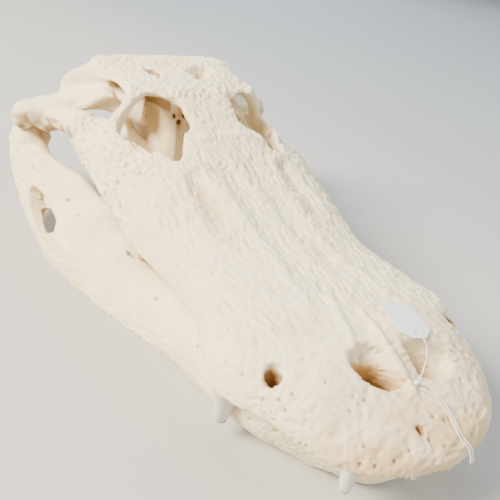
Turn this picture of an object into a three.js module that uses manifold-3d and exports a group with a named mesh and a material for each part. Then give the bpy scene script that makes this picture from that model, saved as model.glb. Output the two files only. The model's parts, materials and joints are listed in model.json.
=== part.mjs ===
// Skull of an adult American alligator with its lower jaw closed, lying on the lower jaw,
// with a small paper tag tied to the bar between the nostrils.
//
// Units are millimetres. While the bones are shaped, x runs across (the animal's left is +x),
// y runs back from just before the snout tip and z up from the floor. The group then puts the
// origin at the bottom centre of the box around the bones, so the snout points along -Y.
//
// The skull is shaped whole, as one cranium and two lower jaw halves, and thin cuts part it
// into the bones that a person would name.
import * as THREE from "three";
import { mergeVertices } from "three/addons/utils/BufferGeometryUtils.js";
import Module from "manifold-3d";

// Driving dimensions
const JOINT_GAP = 0.3;
const TABLE_TOP = 175; // height of the flat skull table
const TABLE_THICKNESS = 15;
const TABLE_FRONT = 400;
const TABLE_BACK = 500;
const PALATE_TOP = 63; // height of the upper side of the palate inside the orbits
const PALATE_BOTTOM = 50;
const FACE_FRONT = 12;
const FACE_BACK = 332; // where the face's own mass ends and the cheeks carry on
const ORBIT = { x: 54, y: 358, halfWidth: 27, halfLength: 48 };
const NOSTRIL = { x: 21.5, y: 69.5, floor: 62, right: [14.5, 17], left: [17.5, 20] }; // half width and length
const TOOTH_PIT = { x: 79, y: 99, radius: 5.5, floor: 60 };
const LIP_HOLE = { x: -15, y: 31, radius: 2.6, floor: 60 };
const TABLE_OPENING = {
  right: { x: -32, y: 432, halfWidth: 5, halfLength: 15, turn: 0.2 },
  left: { x: 28, y: 440, halfWidth: 14, halfLength: 22, turn: -0.25 },
};
const JAW_WINDOW = { y: 396, z: 37, halfLength: 57, halfHeight: 15, rise: 0.13 };
const TAG = { width: 27, length: 36, thickness: 0.6, clip: 8 };
const THREAD_RADIUS = 0.55;
const TAG_FRONT = { x: 21, y: 77 };
const TAG_BACK = { x: 29, y: 110 };

// Sides of the body
const RIGHT = -1;
const LEFT = 1;

// A smooth curve through a few (station, value) pairs that never overshoots them
function profile(pairs) {
  const n = pairs.length;
  const step = (i) => pairs[i + 1][0] - pairs[i][0];
  const rise = (i) => (pairs[i + 1][1] - pairs[i][1]) / step(i);
  const slope = pairs.map((_, i) => {
    if (i === 0) return rise(0);
    if (i === n - 1) return rise(n - 2);
    const [before, after] = [rise(i - 1), rise(i)];
    if (before * after <= 0) return 0;
    const [w1, w2] = [2 * step(i) + step(i - 1), step(i) + 2 * step(i - 1)];
    return (w1 + w2) / (w1 / before + w2 / after);
  });
  return (at) => {
    if (at <= pairs[0][0]) return pairs[0][1];
    if (at >= pairs[n - 1][0]) return pairs[n - 1][1];
    let i = 0;
    while (at > pairs[i + 1][0]) i += 1;
    const h = step(i);
    const t = (at - pairs[i][0]) / h;
    const [a, b] = [pairs[i][1], pairs[i + 1][1]];
    const [u, v] = [1 - t, t];
    return a * u * u * (1 + 2 * t) + b * v * v * (3 - 2 * t) + h * u * t * (u * slope[i] - v * slope[i + 1]);
  };
}

// The upper jaw and face, by distance back from the tip
const faceHalfWidth = profile([
  [12, 9], [15, 27], [22, 45], [39, 65], [61, 80], [82, 87], [111, 99], [128, 102.5],
  [159, 97], [204, 87], [248, 90.5], [290, 98], [332, 101],
]);
const faceWidestAt = profile([[12, 50], [39, 54], [124, 56], [159, 61], [214, 69], [274, 80], [332, 88]]);
const faceTop = profile([
  [12, 58], [20, 65], [34, 72], [57, 82], [85, 94], [120, 96], [160, 98], [205, 103],
  [250, 114], [290, 127], [312, 136], [332, 148],
]);
const toothLine = profile([
  [12, 50], [20, 53], [30, 51], [45, 49.5], [62, 53], [78, 54], [90, 52], [102, 46], [112, 43], [130, 41],
  [165, 43],
  [204, 47], [250, 46], [285, 48], [305, 55], [332, 67],
]);
const FACE_ROUNDNESS = { over: 2.35, under: 6 };

// The cheek: the bar that runs from the face below the orbit back to the jaw joint
const cheekUpper = {
  x: profile([
    [296, 54], [316, 57], [331, 68], [339, 74], [358, 77], [398, 78], [422, 80], [435, 90], [452, 94], [480, 99],
    [500, 109],
  ]),
  z: profile([
    [296, 122], [316, 125], [339, 131], [358, 139], [381, 142], [398, 139], [422, 136], [435, 132], [480, 133],
    [500, 129],
  ]),
};
const cheekLower = {
  x: profile([[296, 98], [337, 101], [360, 103], [402, 105], [457, 107], [466, 110], [485, 122], [500, 135]]),
  z: profile([
    [296, 50], [308, 54], [337, 71], [360, 81], [402, 85], [431, 92], [457, 99], [466, 107], [485, 106], [500, 100],
  ]),
};

// The lower jaw half: from the under edge to the upper edge of its outer face
const JAW_FRONT = 26;
const JAW_BACK = 590;
const jawLower = {
  x: profile([
    [26, 6], [30, 7], [40, 9], [44, 10], [52, 17], [64, 28], [80, 42], [93, 49], [137, 72], [160, 81], [190, 90],
    [227, 103],
    [270, 121], [315, 136], [379, 154], [420, 158], [459, 159], [500, 158], [524, 155], [560, 147], [590, 138],
  ]),
  z: profile([
    [26, 34], [30, 26], [35, 16], [40, 7], [45, -1], [52, -6], [240, -6], [330, -2], [379, 0], [420, 4], [459, 9],
    [500, 19], [524, 29], [560, 47], [590, 62],
  ]),
};
const jawUpper = {
  x: profile([
    [26, 20], [32, 36], [47, 53], [70, 68], [90, 80], [128, 90], [160, 87], [204, 79], [250, 84], [290, 91],
    [323, 100], [350, 108], [378, 114], [417, 121], [447, 130], [480, 138], [500, 142], [522, 146], [545, 143], [590, 135],
  ]),
  z: profile([
    [26, 48], [30, 49], [45, 48], [62, 51.4], [78, 52.4], [90, 50.4], [102, 44.4], [112, 41.4], [130, 39.6],
    [165, 41.6], [204, 45.6], [285, 46.4], [305, 53.5], [323, 61], [337, 68], [350, 73.5], [378, 76], [447, 76],
    [480, 79], [500, 86], [522, 89], [545, 85], [590, 75],
  ]),
};
const jawThickness = profile([
  [26, 12], [60, 26], [250, 27], [330, 23], [450, 19], [500, 27], [530, 30], [590, 14],
]);

// The two round knuckles of the jaw joint
const KNUCKLES = [
  { x: 143, y: 512, z: 108, size: [13, 12, 15] },
  { x: 120, y: 518, z: 107, size: [13, 12, 14] },
];

// Solids from three.js geometry
const wasm = await Module();
wasm.setup();

// A closed geometry as a solid that faces outwards
function solid(geometry) {
  const bare = geometry.clone();
  bare.deleteAttribute("normal");
  bare.deleteAttribute("uv");
  const merged = mergeVertices(bare, 1e-4);
  const index = merged.index.array;
  const corners = [];
  for (let i = 0; i < index.length; i += 3) {
    const [a, b, c] = [index[i], index[i + 1], index[i + 2]];
    if (a !== b && b !== c && c !== a) corners.push(a, b, c);
  }
  const mesh = (list) =>
    new wasm.Mesh({
      numProp: 3,
      vertProperties: new Float32Array(merged.attributes.position.array),
      triVerts: new Uint32Array(list),
    });
  const made = new wasm.Manifold(mesh(corners));
  if (made.volume() > 0) return made;
  for (let i = 0; i < corners.length; i += 3) {
    [corners[i + 1], corners[i + 2]] = [corners[i + 2], corners[i + 1]];
  }
  return new wasm.Manifold(mesh(corners));
}

// A closed skin round a row of rings: place(t, angle) gives the point, t runs 0 to 1 along it
function loft(sides, steps, place) {
  const geometry = new THREE.CylinderGeometry(1, 1, 1, sides, steps);
  const position = geometry.attributes.position;
  for (let i = 0; i < position.count; i += 1) {
    const t = position.getY(i) + 0.5;
    const point = new THREE.Vector3();
    if (Math.hypot(position.getX(i), position.getZ(i)) > 0.5) {
      point.copy(place(t, Math.atan2(position.getZ(i), position.getX(i))));
    } else {
      for (let k = 0; k < sides; k += 1) point.add(place(t, (2 * Math.PI * k) / sides));
      point.divideScalar(sides);
    }
    position.setXYZ(i, point.x, point.y, point.z);
  }
  return solid(geometry);
}

// A sine or cosine flattened towards a rounded box as the power grows
function boxy(value, power) {
  return Math.abs(value) < 1e-6 ? 0 : Math.sign(value) * Math.abs(value) ** (2 / power);
}

// A slab of bone whose section at each station y runs from a lower to an upper edge
function band({ side, from, to, lower, upper, thickness, bulge, sides, steps, power = 3 }) {
  return loft(sides, steps, (t, angle) => {
    const y = from + (to - from) * t;
    const low = new THREE.Vector2(lower.x(y), lower.z(y));
    const high = new THREE.Vector2(upper.x(y), upper.z(y));
    const across = high.clone().sub(low).normalize();
    const outward = new THREE.Vector2(across.y, -across.x);
    const up = boxy(Math.sin(angle), power);
    const out = boxy(Math.cos(angle), 2.4);
    const point = low.clone().lerp(high, 0.5 + 0.5 * up);
    const thick = typeof thickness === "function" ? thickness(y) : thickness;
    point.addScaledVector(outward, bulge * (1 - up * up) + thick * 0.5 * (out - 1));
    return new THREE.Vector3(side * point.x, y, point.y);
  });
}

// A limb of bone along a curve, oval in section, with its half sizes given along it
function limb({ path, across, tall, sides = 9, steps = 8, power = 2 }) {
  const curve = new THREE.CatmullRomCurve3(path);
  const up = new THREE.Vector3(0, 0, 1);
  return loft(sides, steps, (t, angle) => {
    const centre = curve.getPoint(t);
    const along = curve.getTangent(t);
    const sideways = new THREE.Vector3().crossVectors(along, up).normalize();
    const upward = new THREE.Vector3().crossVectors(sideways, along);
    return centre
      .addScaledVector(sideways, across(t) * boxy(Math.cos(angle), power))
      .addScaledVector(upward, tall(t) * boxy(Math.sin(angle), power));
  });
}

// An upright prism through a plan outline
function prism(outline, bottom, top) {
  const shape = new THREE.Shape(outline.map(([x, y]) => new THREE.Vector2(x, y)));
  const geometry = new THREE.ExtrudeGeometry(shape, { depth: top - bottom, bevelEnabled: false });
  return solid(geometry.translate(0, 0, bottom));
}

// An upright oval hole or boss
function oval(x, y, halfWidth, halfLength, bottom, top, turn = 0, sides = 16) {
  const geometry = new THREE.CylinderGeometry(1, 1, top - bottom, sides);
  geometry.rotateX(Math.PI / 2);
  geometry.scale(halfWidth, halfLength, 1);
  geometry.rotateZ(turn);
  return solid(geometry.translate(x, y, (bottom + top) / 2));
}

// A round-ended lump
function lump(x, y, z, halfX, halfY, halfZ, sides = 11) {
  const geometry = new THREE.SphereGeometry(1, sides, Math.round(sides / 2));
  geometry.scale(halfX, halfY, halfZ);
  return solid(geometry.translate(x, y, z));
}

// A thin plate that parts two bones: across an axis, inside a box
function cut(axis, at, box) {
  const size = { x: box.x[1] - box.x[0], y: box.y[1] - box.y[0], z: box.z[1] - box.z[0] };
  const middle = { x: (box.x[0] + box.x[1]) / 2, y: (box.y[0] + box.y[1]) / 2, z: (box.z[0] + box.z[1]) / 2 };
  size[axis] = JOINT_GAP;
  middle[axis] = at;
  const plate = new THREE.BoxGeometry(size.x, size.y, size.z);
  return solid(plate.translate(middle.x, middle.y, middle.z));
}

function union(pieces) {
  return pieces.reduce((whole, piece) => whole.add(piece));
}

function largest(shape) {
  return shape.decompose().reduce((best, body) => (body.volume() > best.volume() ? body : best));
}

// The face: a broad low box with rounded shoulders, closed under by the palate
function facePoint(y, angle) {
  const [c, s] = [Math.cos(angle), Math.sin(angle)];
  const power = s >= 0 ? FACE_ROUNDNESS.over : FACE_ROUNDNESS.under;
  const level = faceWidestAt(y);
  const reach = s >= 0 ? faceTop(y) - level : level - toothLine(y);
  return new THREE.Vector3(faceHalfWidth(y) * boxy(c, power), y, level + reach * boxy(s, power));
}

function face(drop = 0) {
  return loft(32, 23, (t, angle) => {
    const point = facePoint(FACE_FRONT + (FACE_BACK - FACE_FRONT) * t ** 1.4, angle);
    return point.setZ(point.z - drop);
  });
}

// Height of the face's upper surface over a point in plan
function faceHeight(x, y) {
  const share = Math.min(1, Math.abs(x) / faceHalfWidth(y));
  const rise = (1 - share ** FACE_ROUNDNESS.over) ** (1 / FACE_ROUNDNESS.over);
  return faceWidestAt(y) + (faceTop(y) - faceWidestAt(y)) * rise;
}

// The frontal bar between the orbits, hollowed along its middle
function browBar() {
  const halfWidth = profile([[300, 44], [318, 40], [330, 38], [347, 31], [362, 26], [388, 27], [402, 34], [420, 60]]);
  const top = profile([[300, 131], [330, 146], [347, 153], [362, 161], [388, 170], [420, 172]]);
  return loft(16, 9, (t, angle) => {
    const y = 300 + 120 * t;
    const across = boxy(Math.cos(angle), 3);
    const up = boxy(Math.sin(angle), 3);
    const hollow = up > 0 ? 3.5 * (1 - across * across) : 0;
    return new THREE.Vector3(halfWidth(y) * across, y, top(y) - 8 + 8 * up - hollow);
  });
}

function cheek(side) {
  return band({
    side, from: 296, to: 500, lower: cheekLower, upper: cheekUpper,
    thickness: profile([[296, 14], [400, 12], [500, 20]]), bulge: 4, sides: 12, steps: 12,
  });
}

// The bar behind the orbit, from the corner of the skull table down to the cheek
function postorbitalBar(side) {
  return limb({
    path: [
      new THREE.Vector3(side * 57, 414, 161),
      new THREE.Vector3(side * 68, 405, 153),
      new THREE.Vector3(side * 78, 398, 137),
      new THREE.Vector3(side * 84, 396, 122),
    ],
    across: profile([[0, 10], [0.4, 7.2], [0.75, 7.2], [1, 9]]),
    tall: profile([[0, 7], [0.4, 7], [0.75, 7], [1, 7]]),
    steps: 7,
  });
}

// The flat skull table: a slab whose flanks drop a little, drawn out behind into two corners
function skullTable() {
  const halfWidth = profile([[TABLE_FRONT, 64], [414, 67], [440, 69], [475, 75], [490, 78], [TABLE_BACK, 74]]);
  const drop = profile([[TABLE_FRONT, 8], [440, 6], [490, 1.5], [TABLE_BACK, 1.5]]);
  return loft(26, 6, (t, angle) => {
    const across = boxy(Math.cos(angle), 6);
    const up = boxy(Math.sin(angle), 6);
    const y = TABLE_FRONT + (TABLE_BACK - TABLE_FRONT) * t;
    const backEdge = t > 0.99 ? 6 * (across * across - 0.55) - 3 * across ** 6 : 0;
    const z = TABLE_TOP - (TABLE_THICKNESS / 2) * (1 - up) - drop(y) * across ** 4;
    return new THREE.Vector3(halfWidth(y) * across, y - backEdge, z);
  });
}

// The openings in the table: the right one is half closed
function tableOpening({ x, y, halfWidth, halfLength, turn }) {
  return oval(x, y, halfWidth, halfLength, TABLE_TOP - 50, TABLE_TOP + 5, turn, 20);
}

function braincase() {
  const halfWidth = profile([[400, 22], [420, 28], [450, 36], [498, 46]]);
  return loft(14, 5, (t, angle) => {
    const bottom = 66 + 12 * t;
    const top = TABLE_TOP - 6;
    const up = boxy(Math.sin(angle), 4);
    const waist = 1 - 0.22 * (1 - up * up);
    const lean = t > 0.99 ? 6 * up : 0;
    const y = 400 + 94 * t;
    return new THREE.Vector3(
      halfWidth(y) * waist * boxy(Math.cos(angle), 4),
      y - lean,
      (top + bottom) / 2 + ((top - bottom) / 2) * up,
    );
  });
}

// The nape: the round condyle that meets the neck, over a downward keel
function nape() {
  return union([
    lump(0, 502, 98, 15, 13, 13),
    limb({
      path: [new THREE.Vector3(0, 488, 110), new THREE.Vector3(0, 492, 84), new THREE.Vector3(0, 486, 60)],
      across: profile([[0, 24], [0.5, 25], [1, 20]]),
      tall: profile([[0, 12], [1, 9]]),
      steps: 5,
    }),
  ]);
}

// The horn of the table's back corner and the wing of the braincase under it
function napeWing(side) {
  return union([
    limb({
      path: [
        new THREE.Vector3(side * 60, 474, 160), new THREE.Vector3(side * 78, 493, 156),
        new THREE.Vector3(side * 91, 506, 145), new THREE.Vector3(side * 98, 513, 134),
      ],
      across: profile([[0, 11], [0.6, 9], [1, 7]]),
      tall: profile([[0, 11], [0.6, 11], [1, 8]]),
      power: 2.6, steps: 7,
    }),
    limb({
      path: [
        new THREE.Vector3(side * 20, 486, 128), new THREE.Vector3(side * 60, 498, 138),
        new THREE.Vector3(side * 98, 512, 134),
      ],
      across: profile([[0, 9], [1, 8]]),
      tall: profile([[0, 26], [0.6, 20], [1, 11]]),
      power: 2.6, steps: 6,
    }),
  ]);
}

// The quadrate: a strong beam from the braincase to the jaw joint, ending in two knuckles
function quadrate(side) {
  return union([
    limb({
      path: [
        new THREE.Vector3(side * 30, 436, 128), new THREE.Vector3(side * 70, 466, 133),
        new THREE.Vector3(side * 105, 498, 121), new THREE.Vector3(side * 131, 514, 111),
      ],
      across: profile([[0, 24], [0.4, 24], [0.7, 18], [1, 20]]),
      tall: profile([[0, 18], [0.4, 14], [0.7, 13], [1, 12]]),
      power: 2.6, steps: 6, sides: 11,
    }),
    ...KNUCKLES.map(({ x, y, z, size }) => lump(side * x, y, z, ...size)),
  ]);
}

// The sheet that closes the side of the braincase, from the postorbital bar's head to the quadrate
function templeSheet(side) {
  return band({
    side, from: 406, to: 512,
    lower: {
      x: profile([[406, 70], [435, 84], [465, 93], [490, 104], [512, 118]]),
      z: profile([[406, 158], [435, 145], [465, 131], [490, 123], [512, 116]]),
    },
    upper: {
      x: profile([[406, 60], [454, 68], [480, 78], [512, 100]]),
      z: profile([[406, 164], [454, 152], [480, 144], [512, 130]]),
    },
    thickness: 9, bulge: 2, sides: 10, steps: 6,
  });
}

// The bar from the palate's wing to the cheek, the wing itself, and the strut up to the quadrate
function palateLimbs(side) {
  return [
    limb({
      path: [
        new THREE.Vector3(side * 54, 412, 58), new THREE.Vector3(side * 76, 406, 66),
        new THREE.Vector3(side * 92, 396, 94),
      ],
      across: profile([[0, 14], [0.5, 10], [1, 8]]),
      tall: profile([[0, 8], [0.5, 8], [1, 6]]),
      steps: 6,
    }),
    limb({
      path: [
        new THREE.Vector3(side * 52, 418, 60), new THREE.Vector3(side * 68, 426, 48),
        new THREE.Vector3(side * 78, 434, 28),
      ],
      across: profile([[0, 22], [0.5, 20], [1, 12]]),
      tall: profile([[0, 6], [1, 4]]),
      steps: 6,
    }),
    limb({
      path: [
        new THREE.Vector3(side * 28, 424, 66), new THREE.Vector3(side * 44, 442, 92),
        new THREE.Vector3(side * 62, 458, 122),
      ],
      across: profile([[0, 16], [1, 18]]),
      tall: profile([[0, 10], [1, 9]]),
      steps: 6,
    }),
  ];
}

// The roof of the mouth behind the face
function palate() {
  const half = [[16, 300], [22, 330], [20, 362], [30, 394], [60, 408], [74, 422], [70, 440], [44, 448], [14, 438]];
  const outline = [...half, ...half.map(([x, y]) => [-x, y]).reverse()];
  return union([
    prism(outline, PALATE_BOTTOM, PALATE_TOP),
    ...palateLimbs(RIGHT),
    ...palateLimbs(LEFT),
    lump(0, 434, 68, 26, 24, 17),
  ]);
}

// The pillar in front of the orbit's inner wall
function orbitPillar(side) {
  return limb({
    path: [
      new THREE.Vector3(side * 26, 338, 142), new THREE.Vector3(side * 19, 342, 104),
      new THREE.Vector3(side * 17, 338, 58),
    ],
    across: profile([[0, 11], [0.5, 8], [1, 10]]),
    tall: profile([[0, 12], [0.5, 9], [1, 12]]),
    steps: 5, sides: 10,
  });
}

// A peg tooth hung below the tooth line, blunt at its worn tip
function tooth({ x, y, z, out, back, length, radius, root }) {
  const points = [new THREE.Vector2(0, 0), new THREE.Vector2(radius * 0.4, length * 0.02)];
  const rings = 4;
  for (let i = 1; i <= rings; i += 1) {
    const t = i / rings;
    points.push(new THREE.Vector2(radius * (0.5 + 0.5 * t ** 0.6), length * (0.06 + 0.94 * t)));
  }
  points.push(new THREE.Vector2(radius * 0.55, length + root), new THREE.Vector2(0, length + root));
  const geometry = new THREE.LatheGeometry(points, 9);
  geometry.rotateX(Math.PI / 2);
  geometry.translate(0, 0, -length);
  geometry.rotateX(back);
  geometry.rotateY(out);
  return solid(geometry.translate(x, y, z));
}

// The teeth that show under the upper lip, on both sides and at the front alone
const PAIRED_TEETH = [
  { y: 124, x: 94.5, length: 30, radius: 9, out: -0.06, back: 0.12 },
  { y: 38.5, x: 56, length: 25, radius: 6.6, out: 0, back: -0.05 },
];
const FRONT_TEETH = [
  { y: 21, x: -21, length: 12, radius: 3.4, out: 0.1, back: -0.2 },
  { y: 18, x: 4.6, length: 12, radius: 4, out: 0, back: -0.25 },
  { y: 18.5, x: 12.5, length: 9, radius: 3, out: 0, back: -0.25 },
];
const TOOTH_ROOT = 4;
const SMALLER_LEFT = 0.95;

// All the teeth; swollen a little, the same teeth clear their sockets in the lower jaw
function upperTeeth(swell = 0) {
  const pairs = [RIGHT, LEFT].flatMap((side) =>
    PAIRED_TEETH.map(({ x, length, radius, out, ...rest }) => {
      const grown = side === RIGHT ? 1 : SMALLER_LEFT;
      return { ...rest, x: side * x, length: length * grown, radius: radius * grown, out: -side * out };
    }),
  );
  return [...pairs, ...FRONT_TEETH].map(({ x, y, length, radius, out, back }) =>
    tooth({
      x, y, z: toothLine(y) + 2, out, back,
      length: length + swell, radius: radius + swell, root: TOOTH_ROOT + swell,
    }),
  );
}

// The nostrils leave a bar of bone between them
function nostrils() {
  const { x, y, floor, right, left } = NOSTRIL;
  return [oval(RIGHT * x, y, ...right, floor, TABLE_TOP, 0.35), oval(LEFT * x, y, ...left, floor, TABLE_TOP, -0.35)];
}

function cranium() {
  const { x, y, halfWidth, halfLength } = ORBIT;
  const orbits = [RIGHT, LEFT].map((side) =>
    oval(side * x, y, halfWidth, halfLength, PALATE_TOP, TABLE_TOP + 5, side * -0.08, 28),
  );
  const pit = TOOTH_PIT;
  const pits = [RIGHT, LEFT].map((side) => oval(side * pit.x, pit.y, pit.radius, pit.radius + 2, pit.floor, TABLE_TOP));
  const hole = LIP_HOLE;
  const lipHole = oval(hole.x, hole.y, hole.radius, hole.radius, hole.floor, TABLE_TOP, 0, 8);
  const front = union([face(), ...upperTeeth(), browBar(), cheek(RIGHT), cheek(LEFT)])
    .subtract(union([...orbits, ...nostrils(), ...pits, lipHole]));
  const back = union([
    braincase(), nape(), palate(), postorbitalBar(RIGHT), postorbitalBar(LEFT),
    ...[RIGHT, LEFT].flatMap((side) => [napeWing(side), quadrate(side), templeSheet(side), orbitPillar(side)]),
    skullTable(),
  ]).subtract(union([tableOpening(TABLE_OPENING.right), tableOpening(TABLE_OPENING.left)]));
  return largest(front.add(back));
}

// The cuts that part the cranium into its bones
function craniumCuts() {
  const all = { x: [-170, 170], y: [0, 540], z: [20, 190] };
  const slanted = (side, from, to) => {
    const plate = new THREE.BoxGeometry(JOINT_GAP, Math.hypot(to[0] - from[0], to[1] - from[1]), 100);
    plate.rotateZ(-side * Math.atan2(to[0] - from[0], to[1] - from[1]));
    return solid(plate.translate((side * (from[0] + to[0])) / 2, (from[1] + to[1]) / 2, 130));
  };
  return union([
    cut("y", 100, { ...all, z: [20, 120] }),
    cut("y", 299, { ...all, z: [20, 170] }),
    cut("z", 84, { ...all, x: [-44, 44], y: [299, 352] }),
    cut("y", 398, { ...all, x: [-75, 75], z: [146, 190] }),
    cut("z", 157, { ...all, y: [398, 540] }),
    cut("z", 71, { ...all, x: [-48, 48], y: [398, 470] }),
    ...[RIGHT, LEFT].flatMap((side) => [
      cut("x", side * 17, { ...all, y: [99, 299], z: [20, 150] }),
      cut("x", side * 44, { ...all, y: [299, 352], z: [20, 170] }),
      cut("x", side * 82, { ...all, y: [370, 432], z: [40, 100] }),
      cut("x", side * 48, { ...all, y: [398, 540], z: [70, 157] }),
      cut("z", 144, { ...all, x: side > 0 ? [60, 95] : [-95, -60], y: [380, 420] }),
      cut("y", 418, { ...all, x: side > 0 ? [50, 95] : [-95, -50], z: [144, 157] }),
      slanted(side, [64, 392], [116, 502]),
      cut("y", 501, { ...all, x: side > 0 ? [114, 170] : [-170, -114], z: [88, 150] }),
    ]),
  ]);
}

// The lower jaw half: a leaning slab of bone with its window, socket and bowed front
function jawHalf(side) {
  const slab = band({
    side, from: JAW_FRONT, to: JAW_BACK, lower: jawLower, upper: jawUpper, thickness: jawThickness, bulge: 6,
    sides: 12, steps: 26,
  });
  const chin = limb({
    path: [
      new THREE.Vector3(side * -3, 63, 20), new THREE.Vector3(side * 22, 74, 20), new THREE.Vector3(side * 46, 106, 19),
    ],
    across: profile([[0, 19], [1, 18]]),
    tall: profile([[0, 19], [1, 17]]),
    steps: 5, sides: 14, power: 3,
  });
  const socket = lump(side * 131, 516, 82, 25, 19, 17);
  const floorBox = new THREE.BoxGeometry(400, 700, 40).translate(0, 300, -20);
  const otherHalf = new THREE.BoxGeometry(200, 700, 300).translate(-side * (100 - JOINT_GAP / 2), 300, 0);
  const { y, z, halfLength, halfHeight, rise } = JAW_WINDOW;
  const window = new THREE.CylinderGeometry(1, 1, 200, 24);
  window.rotateZ(Math.PI / 2);
  window.scale(1, halfHeight, halfLength);
  window.rotateX(Math.PI / 2 + rise);
  window.translate(side * 150, y, z);
  const knuckles = KNUCKLES.map((k) =>
    lump(side * k.x, k.y, k.z, ...k.size.map((half) => half + 2 * JOINT_GAP)),
  );
  const clearOfFace = face(2 * JOINT_GAP);
  const removed = [solid(floorBox), solid(otherHalf), solid(window), clearOfFace, ...knuckles, ...upperTeeth(0.6)];
  return slab.add(chin).add(socket).subtract(union(removed));
}

function jawCuts(side) {
  const seam = new THREE.BoxGeometry(120, 190, JOINT_GAP);
  seam.rotateX(Math.atan2(30, 160));
  return union([
    cut("y", 345, { x: [-200, 200], y: [0, 600], z: [-10, 120] }),
    solid(seam.translate(side * 150, 522, 56)),
  ]);
}

// Looks
const bone = {
  snout: new THREE.MeshStandardMaterial({ color: 0xe8dcc6, roughness: 0.72, metalness: 0 }),
  plain: new THREE.MeshStandardMaterial({ color: 0xf0e7d4, roughness: 0.66, metalness: 0 }),
  deep: new THREE.MeshStandardMaterial({ color: 0xdcc8a2, roughness: 0.75, metalness: 0 }),
};
const paper = new THREE.MeshStandardMaterial({ color: 0xe9e9ec, roughness: 0.85, metalness: 0 });
const cotton = new THREE.MeshStandardMaterial({ color: 0xf2efe8, roughness: 0.9, metalness: 0 });

const skull = new THREE.Group();
const wornPieces = new THREE.Group();

function mesh(name, shape, material) {
  const { numVert, numProp, vertProperties, triVerts } = shape.getMesh();
  const corners = new Float32Array(numVert * 3);
  for (let i = 0; i < numVert; i += 1) {
    corners.set(vertProperties.subarray(i * numProp, i * numProp + 3), i * 3);
  }
  const geometry = new THREE.BufferGeometry();
  geometry.setAttribute("position", new THREE.BufferAttribute(corners, 3));
  geometry.setIndex(new THREE.BufferAttribute(triVerts, 1));
  geometry.computeVertexNormals();
  const made = new THREE.Mesh(geometry, material);
  made.name = name;
  return made;
}

// Each bone is the body that holds its marker point once the cuts are made
function addBones(bodies, bones) {
  for (const [name, [x, y, z], material] of bones) {
    const marker = lump(x, y, z, 1.5, 1.5, 1.5, 8);
    const owner = bodies.find((body) => body.intersect(marker).volume() > 0);
    if (!owner) throw new Error("no bone at the marker of " + name);
    skull.add(mesh(name, owner, material));
  }
}

const craniumBodies = cranium().subtract(craniumCuts()).decompose();
addBones(craniumBodies, [
  ["premaxilla", [0, 30, 56], bone.snout],
  ["nasal", [0, 200, 70], bone.snout],
  ["frontal", [0, 372, 158], bone.snout],
  ["skull_table", [0, 440, 165], bone.plain],
  ["braincase", [0, 460, 120], bone.deep],
  ["palate", [0, 425, 56], bone.deep],
]);
for (const [side, label] of [[RIGHT, "right"], [LEFT, "left"]]) {
  addBones(craniumBodies, [
    ["maxilla_" + label, [side * 60, 200, 70], bone.snout],
    ["cheek_" + label, [side * 96, 390, 105], bone.plain],
    ["postorbital_bar_" + label, [side * 71, 403, 150], bone.plain],
    ["quadrate_" + label, [side * 72, 466, 134], bone.plain],
  ]);
  addBones(jawHalf(side).subtract(jawCuts(side)).decompose(), [
    ["dentary_" + label, [side * 88, 200, 20], bone.plain],
    ["surangular_" + label, [side * 136, 470, 68], bone.plain],
    ["angular_" + label, [side * 148, 470, 22], bone.plain],
  ]);
}

// The tag lies on the snout behind the left nostril
function tag() {
  const { width, length, thickness, clip } = TAG;
  const half = width / 2;
  const shape = new THREE.Shape([
    new THREE.Vector2(-half, length), new THREE.Vector2(-half, clip), new THREE.Vector2(-half + clip, 0),
    new THREE.Vector2(half - clip, 0), new THREE.Vector2(half, clip), new THREE.Vector2(half, length),
  ]);
  const hole = new THREE.Path().absarc(0, 4.5, 1.3, 0, 2 * Math.PI);
  shape.holes.push(hole);
  const geometry = new THREE.ExtrudeGeometry(shape, { depth: thickness, bevelEnabled: false, curveSegments: 6 });
  const front = new THREE.Vector3(TAG_FRONT.x, TAG_FRONT.y, faceHeight(TAG_FRONT.x, TAG_FRONT.y) + 2.6);
  const back = new THREE.Vector3(TAG_BACK.x, TAG_BACK.y, faceHeight(TAG_BACK.x, TAG_BACK.y) + 1.6);
  const along = back.clone().sub(front).normalize();
  const sideways = new THREE.Vector3(along.y, -along.x, -0.12).normalize();
  const up = new THREE.Vector3().crossVectors(sideways, along).normalize();
  sideways.crossVectors(along, up);
  geometry.applyMatrix4(new THREE.Matrix4().makeBasis(sideways, along, up));
  return solid(geometry.translate(front.x, front.y, front.z));
}

// A thread along chosen points
function thread(points, steps) {
  const curve = new THREE.CatmullRomCurve3(points.map(([x, y, z]) => new THREE.Vector3(x, y, z)));
  const section = new THREE.Shape().absarc(0, 0, THREAD_RADIUS, 0, 2 * Math.PI);
  const settings = { extrudePath: curve, steps, curveSegments: 4, bevelEnabled: false };
  return solid(new THREE.ExtrudeGeometry(section, settings));
}

const KNOT = { x: 0, y: 53.5, lift: 1.9 };
const onSnout = (x, y, lift) => [x, y, faceHeight(x, y) + lift];
const knotAt = onSnout(KNOT.x, KNOT.y, KNOT.lift);
const lead = [
  [20.2, 79.2, 98.4], [20.6, 76.4, 97.6], [21.6, 72.6, 94.6], [21, 69, 91.4], [17.5, 64.8, 88.4], [12.5, 60.6, 85.6],
  [7.5, 57.2, 83.6], [3.2, 54.8, 82.9],
];
const tailRows = [
  { start: [2.4, 51.6], ways: [[7, 49.5], [9.6, 46], [11.2, 40], [12, 34], [12.2, 28], [11.4, 22], [12.6, 17.5]] },
  { start: [-0.4, 50.4], ways: [[3, 47.4], [6.4, 43.4], [9, 38], [10, 32], [10, 26], [9.2, 20.4], [10.2, 17]] },
];
const tailEnds = [
  [[15, 13.2, 60.6], [17, 10.6, 55], [18.6, 9.4, 49]],
  [[12.4, 13, 60.8], [14, 10.2, 55.6], [14.6, 8.8, 50.5]],
];
wornPieces.add(mesh("tag", tag(), paper));
wornPieces.add(mesh("thread_lead", thread(lead, 12), cotton));
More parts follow.
